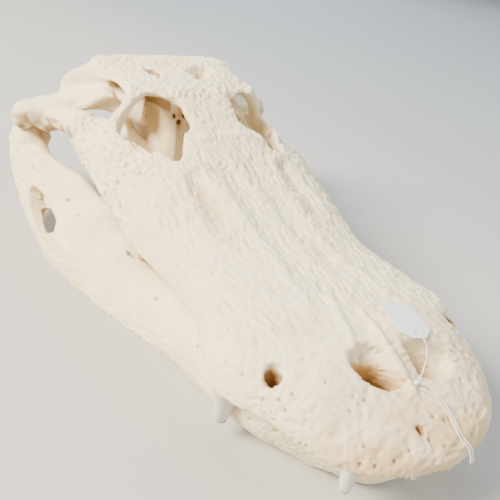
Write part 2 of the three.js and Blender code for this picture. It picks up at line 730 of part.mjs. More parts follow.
wornPieces.add(mesh("thread_knot", lump(...knotAt, 2.2, 1.8, 1.5, 12), cotton));
tailRows.forEach(({ start, ways }, i) => {
  const points = [onSnout(...start, 1.6), ...ways.map(([x, y]) => onSnout(x, y, 1.3)), ...tailEnds[i]];
  wornPieces.add(mesh("thread_tail_" + (i + 1), thread(points, 18), cotton));
});

// The origin goes to the bottom centre of the box round the bones
const box = new THREE.Box3().setFromObject(skull);
const middle = box.getCenter(new THREE.Vector3());
const group = new THREE.Group();
group.add(skull, wornPieces);
group.position.set(-middle.x, -middle.y, -box.min.z);
export default group;
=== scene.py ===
"""Skull of an adult American alligator, bleached, its lower jaw closed, with a paper tag on a thread.

The bones are sculpted as blocks of distance values in millimetres: x runs across (the animal's left
is +x), y runs back from just before the snout tip and z up from the floor. The surface taken from a
block is roughened with pits, ridges and foramina, parted into the named bones along thin sutures and
then set, in metres, where the frame has those bones.
"""

from __future__ import annotations

import json
import logging
import math
from collections.abc import Callable, Sequence
from dataclasses import dataclass, field
from enum import Enum

import bpy
import numpy as np
import openvdb
from mathutils import Matrix, Vector
from mathutils.kdtree import KDTree

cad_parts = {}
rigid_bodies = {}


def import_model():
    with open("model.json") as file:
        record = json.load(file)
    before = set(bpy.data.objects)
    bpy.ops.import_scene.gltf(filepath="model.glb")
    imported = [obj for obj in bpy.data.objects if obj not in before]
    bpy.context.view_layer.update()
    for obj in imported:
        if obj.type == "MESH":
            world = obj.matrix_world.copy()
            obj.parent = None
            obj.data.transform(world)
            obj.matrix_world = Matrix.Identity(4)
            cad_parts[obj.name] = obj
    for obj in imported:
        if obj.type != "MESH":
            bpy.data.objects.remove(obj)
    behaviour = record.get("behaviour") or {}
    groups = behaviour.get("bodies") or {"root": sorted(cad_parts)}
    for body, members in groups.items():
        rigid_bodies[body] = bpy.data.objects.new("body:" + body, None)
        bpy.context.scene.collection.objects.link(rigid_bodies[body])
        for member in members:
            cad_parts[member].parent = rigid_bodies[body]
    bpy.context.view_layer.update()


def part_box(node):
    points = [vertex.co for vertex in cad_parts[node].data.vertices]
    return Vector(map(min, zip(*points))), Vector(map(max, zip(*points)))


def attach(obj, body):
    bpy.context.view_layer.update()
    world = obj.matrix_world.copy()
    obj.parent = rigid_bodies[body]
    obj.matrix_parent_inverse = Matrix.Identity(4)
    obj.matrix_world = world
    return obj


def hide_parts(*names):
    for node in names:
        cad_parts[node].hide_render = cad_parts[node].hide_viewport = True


log = logging.getLogger("skull")

Array = np.ndarray
Point = tuple[float, float, float]
Pairs = tuple[tuple[float, float], ...]

MM = 0.001
TABLE_TOP = 175.0
PALATE_TOP = 63.0
FACE_FRONT = 12.0
FACE_BACK = 332.0
REACH = 10.0

# Sutures, in millimetres
SUTURE_GAP = 0.04
SUTURE_WAVE = 1.6
SUTURE_STEP = 3.0
SUTURE_WAVE_LENGTH = 14.0

# Bodies with fewer points than the first are dropped, and than the second are placed by their middle
SCRAP_POINTS = 8
SMALL_POINTS = 2500

# The mark layers a bone carries: a few real stains, and painted shade in its pits, holes, openings and
# recesses.
STAIN_AND_SHADE_MARKS = ("pit", "tan", "ochre", "brown")
ORIGIN = "origin"
SHARP_ANGLE = math.radians(62)
NOISE_SIDE = 32
CELL_SIDE = 24
FINE_PITCH = 1.2


class Side(Enum):
    """A side of the animal's body."""

    RIGHT = -1
    LEFT = 1

    @property
    def label(self) -> str:
        """The side's name in lower case."""
        return self.name.lower()


@dataclass(frozen=True)
class Profile:
    """A smooth curve through a few (station, value) pairs that never overshoots them."""

    pairs: Pairs

    def __call__(self, at: Array | float) -> Array:
        """Reads the curve.

        Args:
            at: Stations, which are held to the curve's own range.

        Returns:
            The values at those stations.
        """
        x, value = np.array(self.pairs, float).T
        step = np.diff(x)
        rise = np.diff(value) / step
        before, after = rise[:-1], rise[1:]
        agree = before * after > 0
        w1 = 2 * step[1:] + step[:-1]
        w2 = step[1:] + 2 * step[:-1]
        safe_before = np.where(agree, before, 1)
        safe_after = np.where(agree, after, 1)
        inner = np.where(agree, (w1 + w2) / (w1 / safe_before + w2 / safe_after), 0)
        slope = np.concatenate([rise[:1], inner, rise[-1:]])
        at = np.asarray(at, float)
        i = np.clip(np.searchsorted(x, at, side="right") - 1, 0, len(x) - 2)
        v = np.clip((at - x[i]) / step[i], 0, 1)
        u = 1 - v
        ends = value[i] * u * u * (1 + 2 * v) + value[i + 1] * v * v * (3 - 2 * v)
        return ends + step[i] * u * v * (u * slope[i] - v * slope[i + 1])


@dataclass(frozen=True)
class Edge:
    """An edge that runs back along a bone: its x and z at each station y."""

    x: Profile
    z: Profile


def smooth_step(low: float, high: float, value: Array) -> Array:
    """Rises from 0 at low to 1 at high along a smooth curve."""
    t = np.clip((value - low) / (high - low), 0, 1)
    return t * t * (3 - 2 * t)


def boxy(value: Array, power: float) -> Array:
    """Flattens a sine or cosine towards a rounded box as the power grows."""
    return np.sign(value) * np.abs(value) ** (2 / power)


def catmull(points: Array, at: Array, closed: bool = False) -> Array:
    """Reads a Catmull-Rom curve.

    Args:
        points: The points it runs through.
        at: Places from 0 to 1 along it.
        closed: Whether the last point joins the first.

    Returns:
        One point for each place.
    """
    if closed:
        row = np.vstack([points[-1:], points, points[:2]])
    else:
        row = np.vstack([2 * points[:1] - points[1:2], points, 2 * points[-1:] - points[-2:-1]])
    spans = len(row) - 3
    place = np.clip(np.asarray(at, float) * spans, 0, spans - 1e-9)
    i = place.astype(int)
    t = (place - i)[..., None]
    a, b, c, d = row[i], row[i + 1], row[i + 2], row[i + 3]
    cubic = -a + 3 * b - 3 * c + d
    square = 2 * a - 5 * b + 4 * c - d
    return 0.5 * (2 * b + (c - a) * t + square * t * t + cubic * t * t * t)


@dataclass
class Form:
    """A closed mesh in millimetres: corner points, with triangles and quads between them."""

    points: Array
    triangles: Array
    quads: Array


def loft(place: Callable[[Array, Array], Array], sides: int, steps: int) -> Form:
    """Skins a row of rings and closes both ends.

    Args:
        place: Gives the points for places t, from 0 to 1 along the row, and angles round it.
        sides: Points in each ring.
        steps: Spans along the row.

    Returns:
        The closed form.
    """
    t = np.linspace(0, 1, steps + 1)[:, None] + np.zeros(sides)
    angle = np.linspace(0, 2 * math.pi, sides, endpoint=False)[None, :] + np.zeros((steps + 1, 1))
    rings = place(t, angle)
    middles = rings[[0, -1]].mean(axis=1)
    points = np.vstack([rings.reshape(-1, 3), middles])
    ring = np.arange(steps)[:, None] * sides
    this = np.arange(sides)[None, :]
    following = (this + 1) % sides
    quads = np.stack([ring + this, ring + following, ring + sides + following, ring + sides + this], -1)
    first, last = len(points) - 2, len(points) - 1
    top = steps * sides
    fans = [[first, (k + 1) % sides, k] for k in range(sides)]
    fans += [[last, top + k, top + (k + 1) % sides] for k in range(sides)]
    return Form(points, np.array(fans), quads.reshape(-1, 4))


def limb(
    path: Sequence[Point], across: Pairs, tall: Pairs, sides: int = 28, steps: int = 26, power: float = 2
) -> Form:
    """Makes a limb of bone along a curve.

    Args:
        path: Points that the limb's middle runs through.
        across: Half width by place along the limb.
        tall: Half height by place along the limb.
        sides: Points round the limb.
        steps: Spans along the limb.
        power: 2 is an oval section, more is boxier.

    Returns:
        The closed form.
    """
    points = np.array(path, float)
    wide, high = Profile(across), Profile(tall)

    def place(t: Array, angle: Array) -> Array:
        centre = catmull(points, t)
        along = catmull(points, t + 1e-3) - catmull(points, t - 1e-3)
        along /= np.linalg.norm(along, axis=-1, keepdims=True)
        sideways = np.cross(along, [0.0, 0.0, 1.0])
        sideways /= np.linalg.norm(sideways, axis=-1, keepdims=True)
        upward = np.cross(sideways, along)
        out = wide(t)[..., None] * sideways * boxy(np.cos(angle), power)[..., None]
        return centre + out + high(t)[..., None] * upward * boxy(np.sin(angle), power)[..., None]

    return loft(place, sides, steps)


def lump(centre: Point, half: Point, sides: int = 24) -> Form:
    """Makes a round-ended lump from its centre and half sizes."""

    def place(t: Array, angle: Array) -> Array:
        lift = math.pi * (0.02 + 0.96 * t)
        ring = [np.sin(lift) * np.cos(angle), np.sin(lift) * np.sin(angle), np.cos(lift)]
        return np.stack(ring, -1) * half + centre

    return loft(place, sides, sides // 2)


def column(
    outline: Sequence[tuple[float, float]],
    bottom: float,
    top: float,
    foot: float = 1.0,
    lean: tuple[float, float] = (0.0, 0.0),
    rim: float | None = None,
) -> Form:
    """Makes an upright column, or a bowl, through a smooth closed plan outline.

    Args:
        outline: Points of the plan at the rim, in order.
        bottom: Lowest z.
        top: Highest z.
        foot: Size of the plan at the bottom, as a share.
        lean: How far the bottom lies from under the rim, in x and y.
        rim: Height of the outline, the top if left out.

    Returns:
        The closed form.
    """
    plan = np.array(outline, float)
    middle = plan.mean(axis=0)
    level = top if rim is None else rim

    def place(t: Array, angle: Array) -> Array:
        z = bottom + (top - bottom) * t
        below = np.clip((level - z) / (level - bottom), 0, 1)[..., None]
        share = 1 - (1 - foot) * below**1.5
        across = catmull(plan, angle / (2 * math.pi), closed=True) - middle
        return np.concatenate([across * share + middle + below * lean, z[..., None]], -1)

    return loft(place, 96, 24)


def oval(x: float, y: float, half_width: float, half_length: float, turn: float) -> list[tuple[float, float]]:
    """Gives a turned oval's plan outline."""
    spots = np.linspace(0, 2 * math.pi, 16, endpoint=False)
    across, along = half_width * np.cos(spots), half_length * np.sin(spots)
    turned_x = across * math.cos(turn) - along * math.sin(turn) + x
    turned_y = across * math.sin(turn) + along * math.cos(turn) + y
    return list(zip(turned_x.tolist(), turned_y.tolist()))


def band(
    side: Side,
    reach: tuple[float, float],
    lower: Edge,
    upper: Edge,
    thickness: Profile,
    bulge: float,
    power: float = 3,
    steps: int = 80,
) -> Form:
    """Makes a slab of bone whose section at each station runs from a lower to an upper edge.

    Args:
        side: The side of the body that it stands on.
        reach: First and last station.
        lower: The lower edge of its outer face.
        upper: The upper edge of its outer face.
        thickness: Its thickness by station.
        bulge: How far the outer face swells between the edges.
        power: How boxy the edges are.
        steps: Spans along the slab.

    Returns:
        The closed form.
    """

    def place(t: Array, angle: Array) -> Array:
        y = reach[0] + (reach[1] - reach[0]) * t
        low = np.stack([lower.x(y), lower.z(y)], -1)
        high = np.stack([upper.x(y), upper.z(y)], -1)
        across = (high - low) / np.linalg.norm(high - low, axis=-1, keepdims=True)
        outward = np.stack([across[..., 1], -across[..., 0]], -1)
        up = boxy(np.sin(angle), power)
        out = boxy(np.cos(angle), 2.4)
        spot = low + (high - low) * (0.5 + 0.5 * up)[..., None]
        spot = spot + outward * (bulge * (1 - up * up) + thickness(y) * 0.5 * (out - 1))[..., None]
        return np.stack([side.value * spot[..., 0], y, spot[..., 1]], -1)

    return loft(place, 40, steps)


def smooth_union(a: Array, b: Array, blend: float) -> Array:
    """Joins two distance fields.

    Args:
        a: One field, negative inside.
        b: The other field.
        blend: Width of the fillet between them, 0 for none.

    Returns:
        The joined field.
    """
    joined = np.minimum(a, b)
    if blend <= 0:
        return joined
    near = np.maximum(blend - np.abs(a - b), 0) / blend
    return joined - near * near * blend * 0.25


@dataclass
class Block:
    """A block of distance values on a regular grid, negative inside the bone.

    Attributes:
        low: Lowest corner.
        high: Highest corner.
        pitch: Grid spacing.
    """

    low: Point
    high: Point
    pitch: float
    first: Array = field(init=False)
    values: Array = field(init=False)

    def __post_init__(self) -> None:
        """Lays out an empty grid."""
        self.first = np.floor(np.array(self.low) / self.pitch).astype(int)
        last = np.ceil(np.array(self.high) / self.pitch).astype(int)
        self.values = np.full(last - self.first + 1, REACH, np.float32)

    def read(self, form: Form) -> tuple[tuple[slice, ...], Array]:
        """Measures the distance to a form near it.

        Args:
            form: The closed form.

        Returns:
            The part of the block that it covers, and the distances there.
        """
        grid = openvdb.FloatGrid.createLevelSetFromPolygons(
            form.points.astype(np.float32),
            triangles=form.triangles.astype(np.uint32),
            quads=form.quads.astype(np.uint32),
            transform=openvdb.createLinearTransform(voxelSize=self.pitch),
            halfWidth=REACH / self.pitch,
        )
        margin = REACH + self.pitch
        low = np.floor((form.points.min(axis=0) - margin) / self.pitch).astype(int)
        high = np.ceil((form.points.max(axis=0) + margin) / self.pitch).astype(int)
        low = np.maximum(low, self.first)
        high = np.minimum(high, self.first + self.values.shape - 1)
        inside = np.empty(high - low + 1, np.float32)
        grid.copyToArray(inside, ijk=low.tolist())
        where = tuple(slice(a, b + 1) for a, b in zip(low - self.first, high - self.first))
        return where, np.clip(inside, -REACH, REACH)

    def add(self, form: Form, blend: float = 0.0) -> None:
        """Joins a form to the bone, with a fillet as wide as blend."""
        where, values = self.read(form)
        self.values[where] = smooth_union(self.values[where], values, blend)

    def cut(self, form: Form, blend: float = 0.0) -> None:
        """Cuts a form out of the bone, with a rim as round as blend."""
        where, values = self.read(form)
        self.values[where] = -smooth_union(-self.values[where], values, blend)

    def heights(self, axis: int) -> Array:
        """Gives the grid's coordinates along one axis, shaped to spread over the block."""
        count = self.values.shape[axis]
        shape = [1, 1, 1]
        shape[axis] = count
        return ((self.first[axis] + np.arange(count)) * self.pitch).reshape(shape)

    def keep_above(self, axis: int, level: float, sign: int = 1) -> None:
        """Trims the bone flat, keeping what lies beyond a level on an axis."""
        np.maximum(self.values, sign * (level - self.heights(axis)), out=self.values)

    def surface(self) -> Form:
        """Takes the surface between inside and outside as a mesh of quads."""
        grid = openvdb.FloatGrid()
        grid.background = REACH
        grid.transform = openvdb.createLinearTransform(voxelSize=self.pitch)
        grid.copyFromArray(self.values, ijk=self.first.tolist(), tolerance=0.0)
        points, triangles, quads = grid.convertToPolygons(isovalue=0.0, adaptivity=0.0)
        return Form(points.astype(float), triangles.astype(int), quads.astype(int))


@dataclass(frozen=True)
class Noise:
    """Seeded smooth noise over space, about -1 to 1."""

    seed: int

    def __call__(self, points: Array, size: Point | float) -> Array:
        """Reads the noise.

        Args:
            points: Points in millimetres.
            size: Size of its lumps, one number or one for each axis.

        Returns:
            One value for each point.
        """
        slopes = np.random.default_rng(self.seed).normal(size=(NOISE_SIDE, NOISE_SIDE, NOISE_SIDE, 3))
        slopes /= np.linalg.norm(slopes, axis=-1, keepdims=True)
        spot = points / np.asarray(size, float) + 0.37 * self.seed
        cell = np.floor(spot).astype(int)
        inside = spot - cell
        ease = inside**3 * (inside * (inside * 6 - 15) + 10)
        total = np.zeros(len(points))
        for corner in np.ndindex(2, 2, 2):
            at = (cell + corner) % NOISE_SIDE
            slope = slopes[at[:, 0], at[:, 1], at[:, 2]]
            lean = ((inside - corner) * slope).sum(axis=1)
            share = np.prod(np.where(np.array(corner) == 1, ease, 1 - ease), axis=1)
            total += lean * share
        return total * 1.5


@dataclass(frozen=True)
class Cells:
    """Seeded scattered cells over space, for pits and small holes."""

    seed: int

    def __call__(self, points: Array, size: Point | float) -> tuple[Array, Array, Array]:
        """Measures the cells round each point.

        Args:
            points: Points in millimetres.
            size: Spacing of the cells, one number or one for each axis.

        Returns:
            Distance to the nearest cell's middle and to the next one's, in spacings, and a
            draw from 0 to 1 that belongs to the nearest cell.
        """
        middles = np.random.default_rng(self.seed).random((CELL_SIDE, CELL_SIDE, CELL_SIDE, 4))
        spot = points / np.asarray(size, float)
        cell = np.floor(spot).astype(int)
        nearest = np.full(len(points), 9.0)
        second = np.full(len(points), 9.0)
        draw = np.zeros(len(points))
        for offset in np.ndindex(3, 3, 3):
            corner = cell + np.array(offset) - 1
            at = corner % CELL_SIDE
            data = middles[at[:, 0], at[:, 1], at[:, 2]]
            gap = np.linalg.norm(corner + data[:, :3] - spot, axis=1)
            closer = gap < nearest
            second = np.where(closer, nearest, np.minimum(second, gap))
            draw = np.where(closer, data[:, 3], draw)
            nearest = np.where(closer, gap, nearest)
        return nearest, second, draw


@dataclass
class Skin:
    """A bone's surface while it is roughened: its smooth form, its relief and its marks of stain and painted
    shade.

    Attributes:
        form: The surface in millimetres.
    """

    form: Form
    normals: Array = field(init=False)
    relief: Array = field(init=False)
    marks: dict[str, Array] = field(init=False)

    def __post_init__(self) -> None:
        """Works out the normals and starts with no relief."""
        points = self.form.points
        self.normals = np.zeros_like(points)
        quads = self.form.quads
        facing = np.cross(*(points[quads[:, k + 2]] - points[quads[:, k]] for k in (0, 1)))
        for corner in range(4):
            for axis in range(3):
                weights = facing[:, axis]
                self.normals[:, axis] += np.bincount(quads[:, corner], weights, len(points))
        length = np.linalg.norm(self.normals, axis=1, keepdims=True)
        self.normals /= np.maximum(length, 1e-9)
        self.relief = np.zeros(len(points))
        self.marks = {}

    def mark(self, name: str, amount: Array) -> None:
        """Adds to a named mark, which stays between 0 and 1; the marks hold stains and painted shade."""
        old = self.marks.get(name, np.zeros(len(self.form.points)))
        self.marks[name] = np.clip(old + amount, 0, 1)

    def raise_by(self, height: Array) -> None:
        """Adds to the relief, in millimetres out from the smooth form."""
        self.relief = self.relief + height

    def carve(self, share: Array, pattern: Callable[[Array], Array], stain: float = 0.0) -> None:
        """Adds a pattern of relief, with painted shade in its hollows.

        Args:
            share: How much of it each point gets.
            pattern: Gives heights in millimetres for points.
            darken: How much painted shade a hollow 1 mm deep gets.
        """
        chosen = np.nonzero(share > 0.01)[0]
        height = pattern(self.form.points[chosen]) * share[chosen]
        self.relief[chosen] += height
        dark = np.zeros(len(share))
        # painted shade: the pit mark darkens each hollow by its depth
        dark[chosen] = stain * np.clip(-height, 0, None)
        self.mark("pit", dark)

    def crest(self, path: Sequence[tuple[float, float]], width: float, mirror: bool = True) -> Array:
        """Gives 1 along a path in plan, falling smoothly to 0 at its width.

        Args:
            path: Points of x and y that it runs through.
            width: How far it reaches to each side.
            mirror: Whether it is on both sides of the body.

        Returns:
            One value for each point.
        """
        plan = self.form.points[:, :2].copy()
        if mirror:
            plan[:, 0] = np.abs(plan[:, 0])
        spots = catmull(np.array(path, float), np.linspace(0, 1, 12 * len(path)))
        gap = np.full(len(plan), np.inf)
        for spot in spots:
            gap = np.minimum(gap, np.hypot(plan[:, 0] - spot[0], plan[:, 1] - spot[1]))
        return 1 - smooth_step(0, 1, gap / width)

    def keep_above(self, level: float) -> None:
        """Holds the relief back where it would sink below a level."""
        lift = self.normals[:, 2]
        room = (self.form.points[:, 2] - level) / np.maximum(-lift, 1e-6)
        self.relief = np.where(lift < 0, np.minimum(self.relief, room), self.relief)

    def hole(self, centre: Point, radius: float, depth: float = 1.6) -> None:
        """Sinks a small hole, with painted shade inside it."""
        spot = self.ball(centre, radius * 2.4)
        self.raise_by(-depth * smooth_step(0.35, 0.9, spot))
        # painted shade inside the hole, in ochre
        self.mark("ochre", 0.95 * smooth_step(0.5, 0.85, spot))

    def ball(self, centre: Point, radius: float | Point) -> Array:
        """Gives 1 at a centre, falling smoothly to 0 at a radius."""
        gap = np.linalg.norm((self.form.points - centre) / np.asarray(radius, float), axis=1)
        return 1 - smooth_step(0, 1, gap)

    def shaped(self) -> Form:
        """Gives the form with its relief."""
        points = self.form.points + self.normals * self.relief[:, None]
        return Form(points, self.form.triangles, self.form.quads)


@dataclass(frozen=True)
class Braid:
    """Ridges that run lengthwise, part and join again round long hollows."""

    seed: int
    size: Point = (4.6, 15.0, 6.0)
    depth: float = 0.9
    bend: float = 4.0

    def __call__(self, points: Array) -> Array:
        """Gives the heights at points."""
        warp = [Noise(self.seed + k)(points, 24.0) for k in range(3)]
        bent = points + self.bend * np.stack(warp, -1)
        near, second, draw = Cells(self.seed)(bent, self.size)
        wall = 1 - smooth_step(0.02, 0.5, second - near)
        hollow = 1 - smooth_step(0.05, 0.6, near)
        lines = Noise(self.seed + 5)(bent, (self.size[0] * 0.7, self.size[1] * 1.2, self.size[2]))
        return self.depth * (0.55 * wall - hollow * (0.35 + 0.65 * draw) + 0.7 * lines)


@dataclass(frozen=True)
class Strands:
    """Fine straight lines along the bone."""

    seed: int
    size: Point
    depth: float

    def __call__(self, points: Array) -> Array:
        """Gives the heights at points."""
        lines = Noise(self.seed)(points + 2 * Noise(self.seed + 1)(points, 30.0)[:, None], self.size)
        return self.depth * (1 - 2 * np.abs(lines) * 1.6)


@dataclass(frozen=True)
class Holes:
    """Small scattered holes."""

    seed: int
    spacing: Point | float
    radius: float
    depth: float
    kept: float

    def __call__(self, points: Array) -> Array:
        """Gives the heights at points."""
        near, _, draw = Cells(self.seed)(points, self.spacing)
        return -self.depth * (1 - smooth_step(0.4 * self.radius, self.radius, near)) * (draw < self.kept)


# Shader graphs


class Value:
    """A socket in a shader graph, on which arithmetic adds Math nodes."""

    def __init__(self, graph: Graph, socket: bpy.types.NodeSocket) -> None:
        """Wraps a socket of a graph."""
        self.graph = graph
        self.socket = socket

    def _maths(self, operation: str, a: Value | float, b: Value | float) -> Value:
        """Adds a Math node for two operands."""
        return self.graph.add("ShaderNodeMath", {"operation": operation}, {0: a, 1: b})

    def __add__(self, other: Value | float) -> Value:
        """Adds."""
        return self._maths("ADD", self, other)

    def __radd__(self, other: float) -> Value:
        """Adds to a number."""
        return self._maths("ADD", other, self)

    def __sub__(self, other: Value | float) -> Value:
        """Subtracts."""
        return self._maths("SUBTRACT", self, other)

    def __rsub__(self, other: float) -> Value:
        """Subtracts from a number."""
        return self._maths("SUBTRACT", other, self)

    def __mul__(self, other: Value | float) -> Value:
        """Multiplies."""
        return self._maths("MULTIPLY", self, other)

    def __rmul__(self, other: float) -> Value:
        """Multiplies a number."""
        return self._maths("MULTIPLY", other, self)

    def clamped(self) -> Value:
        """Holds the value between 0 and 1."""
        return self.graph.add("ShaderNodeClamp", {}, {"Value": self})

    def ramp(self, low: float, high: float) -> Value:
        """Rises smoothly from 0 at low to 1 at high."""
        settings = {"interpolation_type": "SMOOTHSTEP"}
        inputs = {"Value": self, "From Min": low, "From Max": high}
        return self.graph.add("ShaderNodeMapRange", settings, inputs)


class Graph:
    """A material's shader graph, built from Python expressions."""

    def __init__(self, name: str) -> None:
        """Starts a material with nothing but its output."""
        self.material = bpy.data.materials.new(name)
        self.material.use_nodes = True
        self.tree = self.material.node_tree
        self.tree.nodes.clear()
        self.place = self.add("ShaderNodeTexCoord", {}, {}, "Object")

    def add(
        self,
        kind: str,
        settings: dict[str, object],
        inputs: dict[str | int, object],
        output: str | int = 0,
    ) -> Value | None:
        """Adds one node.

        Args:
            kind: The node's type.
            settings: Its own settings, set before its sockets.
            inputs: Values or links by socket name or number.
            output: The output socket to hand back.

        Returns:
            The output, ready for arithmetic, or nothing from a node that has none.
        """
        node = self.tree.nodes.new(kind)
        for name, setting in settings.items():
            setattr(node, name, setting)
        for name, value in inputs.items():
            if isinstance(value, Value):
                self.tree.links.new(value.socket, node.inputs[name])
            else:
                node.inputs[name].default_value = value
        return Value(self, node.outputs[output]) if len(node.outputs) else None

    def mix(self, share: Value | float, a: object, b: object) -> Value:
        """Mixes two colours by a share of the second."""
        return self.add("ShaderNodeMix", {"data_type": "RGBA"}, {0: share, 6: a, 7: b}, 2)

    def stretched(self, scale: Point) -> Value:
        """Gives the object's coordinates scaled by axis."""
        return self.add("ShaderNodeVectorMath", {"operation": "MULTIPLY"}, {0: self.place, 1: scale})

    def noise(self, size_mm: float, detail: float = 3.0, vector: Value | None = None) -> Value:
        """Gives smooth noise with lumps of a size in millimetres."""
        inputs = {"Vector": vector or self.place, "Scale": 1 / (size_mm * MM), "Detail": detail}
        return self.add("ShaderNodeTexNoise", {}, inputs)

    def specks(self, size_mm: float) -> Value:
        """Gives the distance to scattered specks, in their spacings."""
        inputs = {"Vector": self.place, "Scale": 1 / (size_mm * MM)}
        return self.add("ShaderNodeTexVoronoi", {}, inputs)

    def mark(self, name: str) -> Value:
        """Reads a mark that the surface carries; the bones' marks hold stains and painted shade."""
        return self.add("ShaderNodeAttribute", {"attribute_name": name}, {}, "Fac")

    def bump(self, height: Value, depth_mm: float) -> Value:
        """Turns a height into a bumped normal."""
        inputs = {"Height": height, "Distance": depth_mm * MM, "Strength": 1.0}
        return self.add("ShaderNodeBump", {}, inputs)

    def surface(self, inputs: dict[str | int, object]) -> bpy.types.Material:
        """Closes the graph with a principled surface."""
        shader = self.add("ShaderNodeBsdfPrincipled", {}, inputs)
        self.add("ShaderNodeOutputMaterial", {}, {"Surface": shader})
        return self.material


def shade(red: float, green: float, blue: float) -> tuple[float, float, float, float]:
    """Gives a linear colour with full cover."""
    return (red, green, blue, 1.0)


@dataclass(frozen=True)
class BoneFinish:
    """Bleached bone: cream with warmer clouds, with painted shade in its pits, holes and recesses, stained in
    a few places.
    """

    name: str
    base: tuple[float, float, float, float] = shade(0.95, 0.825, 0.56)
    # warm: for clouds and tan stains, and for painted shade deep in the nostrils and on recess walls
    warm: tuple[float, float, float, float] = shade(0.80, 0.56, 0.28)
    # pit: colour of painted shade in the relief's hollows, also of the speckle and of the snout's front stain
    pit: tuple[float, float, float, float] = shade(0.52, 0.36, 0.17)
    # ochre: colour of painted shade in holes, openings and hollows, and of a few ochre stains
    ochre: tuple[float, float, float, float] = shade(0.42, 0.24, 0.09)
    # brown: colour of painted shade in the deepest holes, and of crumbs
    brown: tuple[float, float, float, float] = shade(0.10, 0.05, 0.025)
    grain_mm: float = 0.25

    def material(self) -> bpy.types.Material:
        """Builds the material."""
        graph = Graph(self.name)
        clouds = graph.noise(38, 4).ramp(0.42, 0.75)
        speckle = graph.noise(3.2, 4).ramp(0.35, 0.75)
        colour = graph.mix(clouds * 0.4, self.base, self.warm)
        colour = graph.mix(speckle * 0.12, colour, self.pit)
        # tan: stains on the snout, and painted shade deep in the nostrils, on recess walls and on the jaws'
        # inner faces
        colour = graph.mix((graph.mark("tan") * 0.9).clamped(), colour, self.warm)
        # pit: painted shade in the relief's hollows, with the stain of the snout's low front
        colour = graph.mix((graph.mark("pit") * 0.75).clamped(), colour, self.pit)
        # ochre: painted shade in holes, openings and hollows, with a few ochre stains
        colour = graph.mix(graph.mark("ochre"), colour, self.ochre)
        # brown: painted shade in the nerve holes and the table's bowl, with crumbs
        colour = graph.mix(graph.mark("brown"), colour, self.brown)
        pores = graph.specks(1.1).ramp(0.05, 0.3)
        grain = graph.noise(0.9, 5) + graph.noise(3.5, 3) * 0.8 + pores * 0.35
        roughness = graph.noise(9, 3) * 0.18 + 0.5
        return graph.surface(
            {
                "Base Color": colour,
                "Roughness": roughness,
                "Normal": graph.bump(grain, self.grain_mm),
                "Subsurface Weight": 0.12,
                "Subsurface Radius": (1.0, 0.6, 0.35),
                "Subsurface Scale": 0.003,
            }
        )


@dataclass(frozen=True)
class ToothFinish:
    """Worn tooth: greyish white, yellower at its neck, specked brown at the tip."""

    name: str = "tooth_enamel"
    white: tuple[float, float, float, float] = shade(0.74, 0.72, 0.66)
    neck: tuple[float, float, float, float] = shade(0.66, 0.55, 0.38)
    speck: tuple[float, float, float, float] = shade(0.16, 0.09, 0.04)

    def material(self) -> bpy.types.Material:
        """Builds the material."""
        graph = Graph(self.name)
        streaks = graph.noise(2.2, 4, graph.stretched((1.0, 1.0, 0.15))).ramp(0.35, 0.7)
        colour = graph.mix(streaks * 0.35, self.white, self.neck)
        colour = graph.mix(graph.mark("neck"), colour, self.neck)
        specks = graph.mark("tip") * (1 - graph.specks(2.6).ramp(0.3, 0.55))
        colour = graph.mix(specks.clamped(), colour, self.speck)
        lines = graph.noise(0.8, 3, graph.stretched((1.0, 1.0, 0.06)))
        return graph.surface(
            {
                "Base Color": colour,
                "Roughness": graph.noise(2, 3) * 0.2 + 0.26,
                "Normal": graph.bump(lines + graph.noise(2.5, 4), 0.12),
                "Subsurface Weight": 0.15,
                "Subsurface Radius": (1.0, 0.7, 0.5),
                "Subsurface Scale": 0.002,
            }
        )


@dataclass(frozen=True)
class PaperFinish:
    """White card, faintly clouded with grey."""

    name: str = "tag_paper"
    white: tuple[float, float, float, float] = shade(0.80, 0.81, 0.84)
    grey: tuple[float, float, float, float] = shade(0.62, 0.62, 0.64)

    def material(self) -> bpy.types.Material:
        """Builds the material."""
        graph = Graph(self.name)
        colour = graph.mix(graph.noise(6, 4).ramp(0.45, 0.8) * 0.25, self.white, self.grey)
        fibres = graph.noise(0.35, 4) + graph.noise(2.5, 2)
        return graph.surface(
            {
                "Base Color": colour,
                "Roughness": graph.noise(1.5, 2) * 0.15 + 0.7,
                "Normal": graph.bump(fibres, 0.06),
            }
        )


@dataclass(frozen=True)
class CottonFinish:
    """White cotton thread."""

    name: str = "cotton_thread"
    white: tuple[float, float, float, float] = shade(0.86, 0.85, 0.82)
    shadow: tuple[float, float, float, float] = shade(0.62, 0.58, 0.52)

    def material(self) -> bpy.types.Material:
        """Builds the material."""
        graph = Graph(self.name)
        fuzz = graph.noise(0.4, 4)
        colour = graph.mix(fuzz.ramp(0.4, 0.8), self.white, self.shadow)
        return graph.surface(
            {
                "Base Color": colour,
                "Roughness": graph.noise(0.8, 2) * 0.1 + 0.85,
                "Normal": graph.bump(fuzz, 0.15),
                "Sheen Weight": 0.3,
            }
        )


@dataclass(frozen=True)
class StageFinish:
    """The pale floor, with painted shade that makes it darker and cooler to the right."""

    name: str
    colour: tuple[float, float, float, float]
    cool: tuple[float, float, float, float] = shade(0.41, 0.445, 0.47)
    turns_cool: tuple[float, float] = (0.12, 0.6)
    roughness: float = 0.7

    def material(self) -> bpy.types.Material:
        """Builds the material."""
        graph = Graph(self.name)
        fleck = graph.noise(120, 2).ramp(0.3, 0.7)
        darker = tuple(c * 0.97 for c in self.colour[:3]) + (1.0,)
        dot = {"operation": "DOT_PRODUCT"}
        across = graph.add("ShaderNodeVectorMath", dot, {0: graph.place, 1: (1, 0, 0)}, 1)
        near = graph.mix(fleck, self.colour, darker)
        # painted shade: darker and bluer to the right
        paint = graph.mix(across.ramp(*self.turns_cool), near, self.cool)
        return graph.surface({"Base Color": paint, "Roughness": self.roughness})


# Placing and making objects


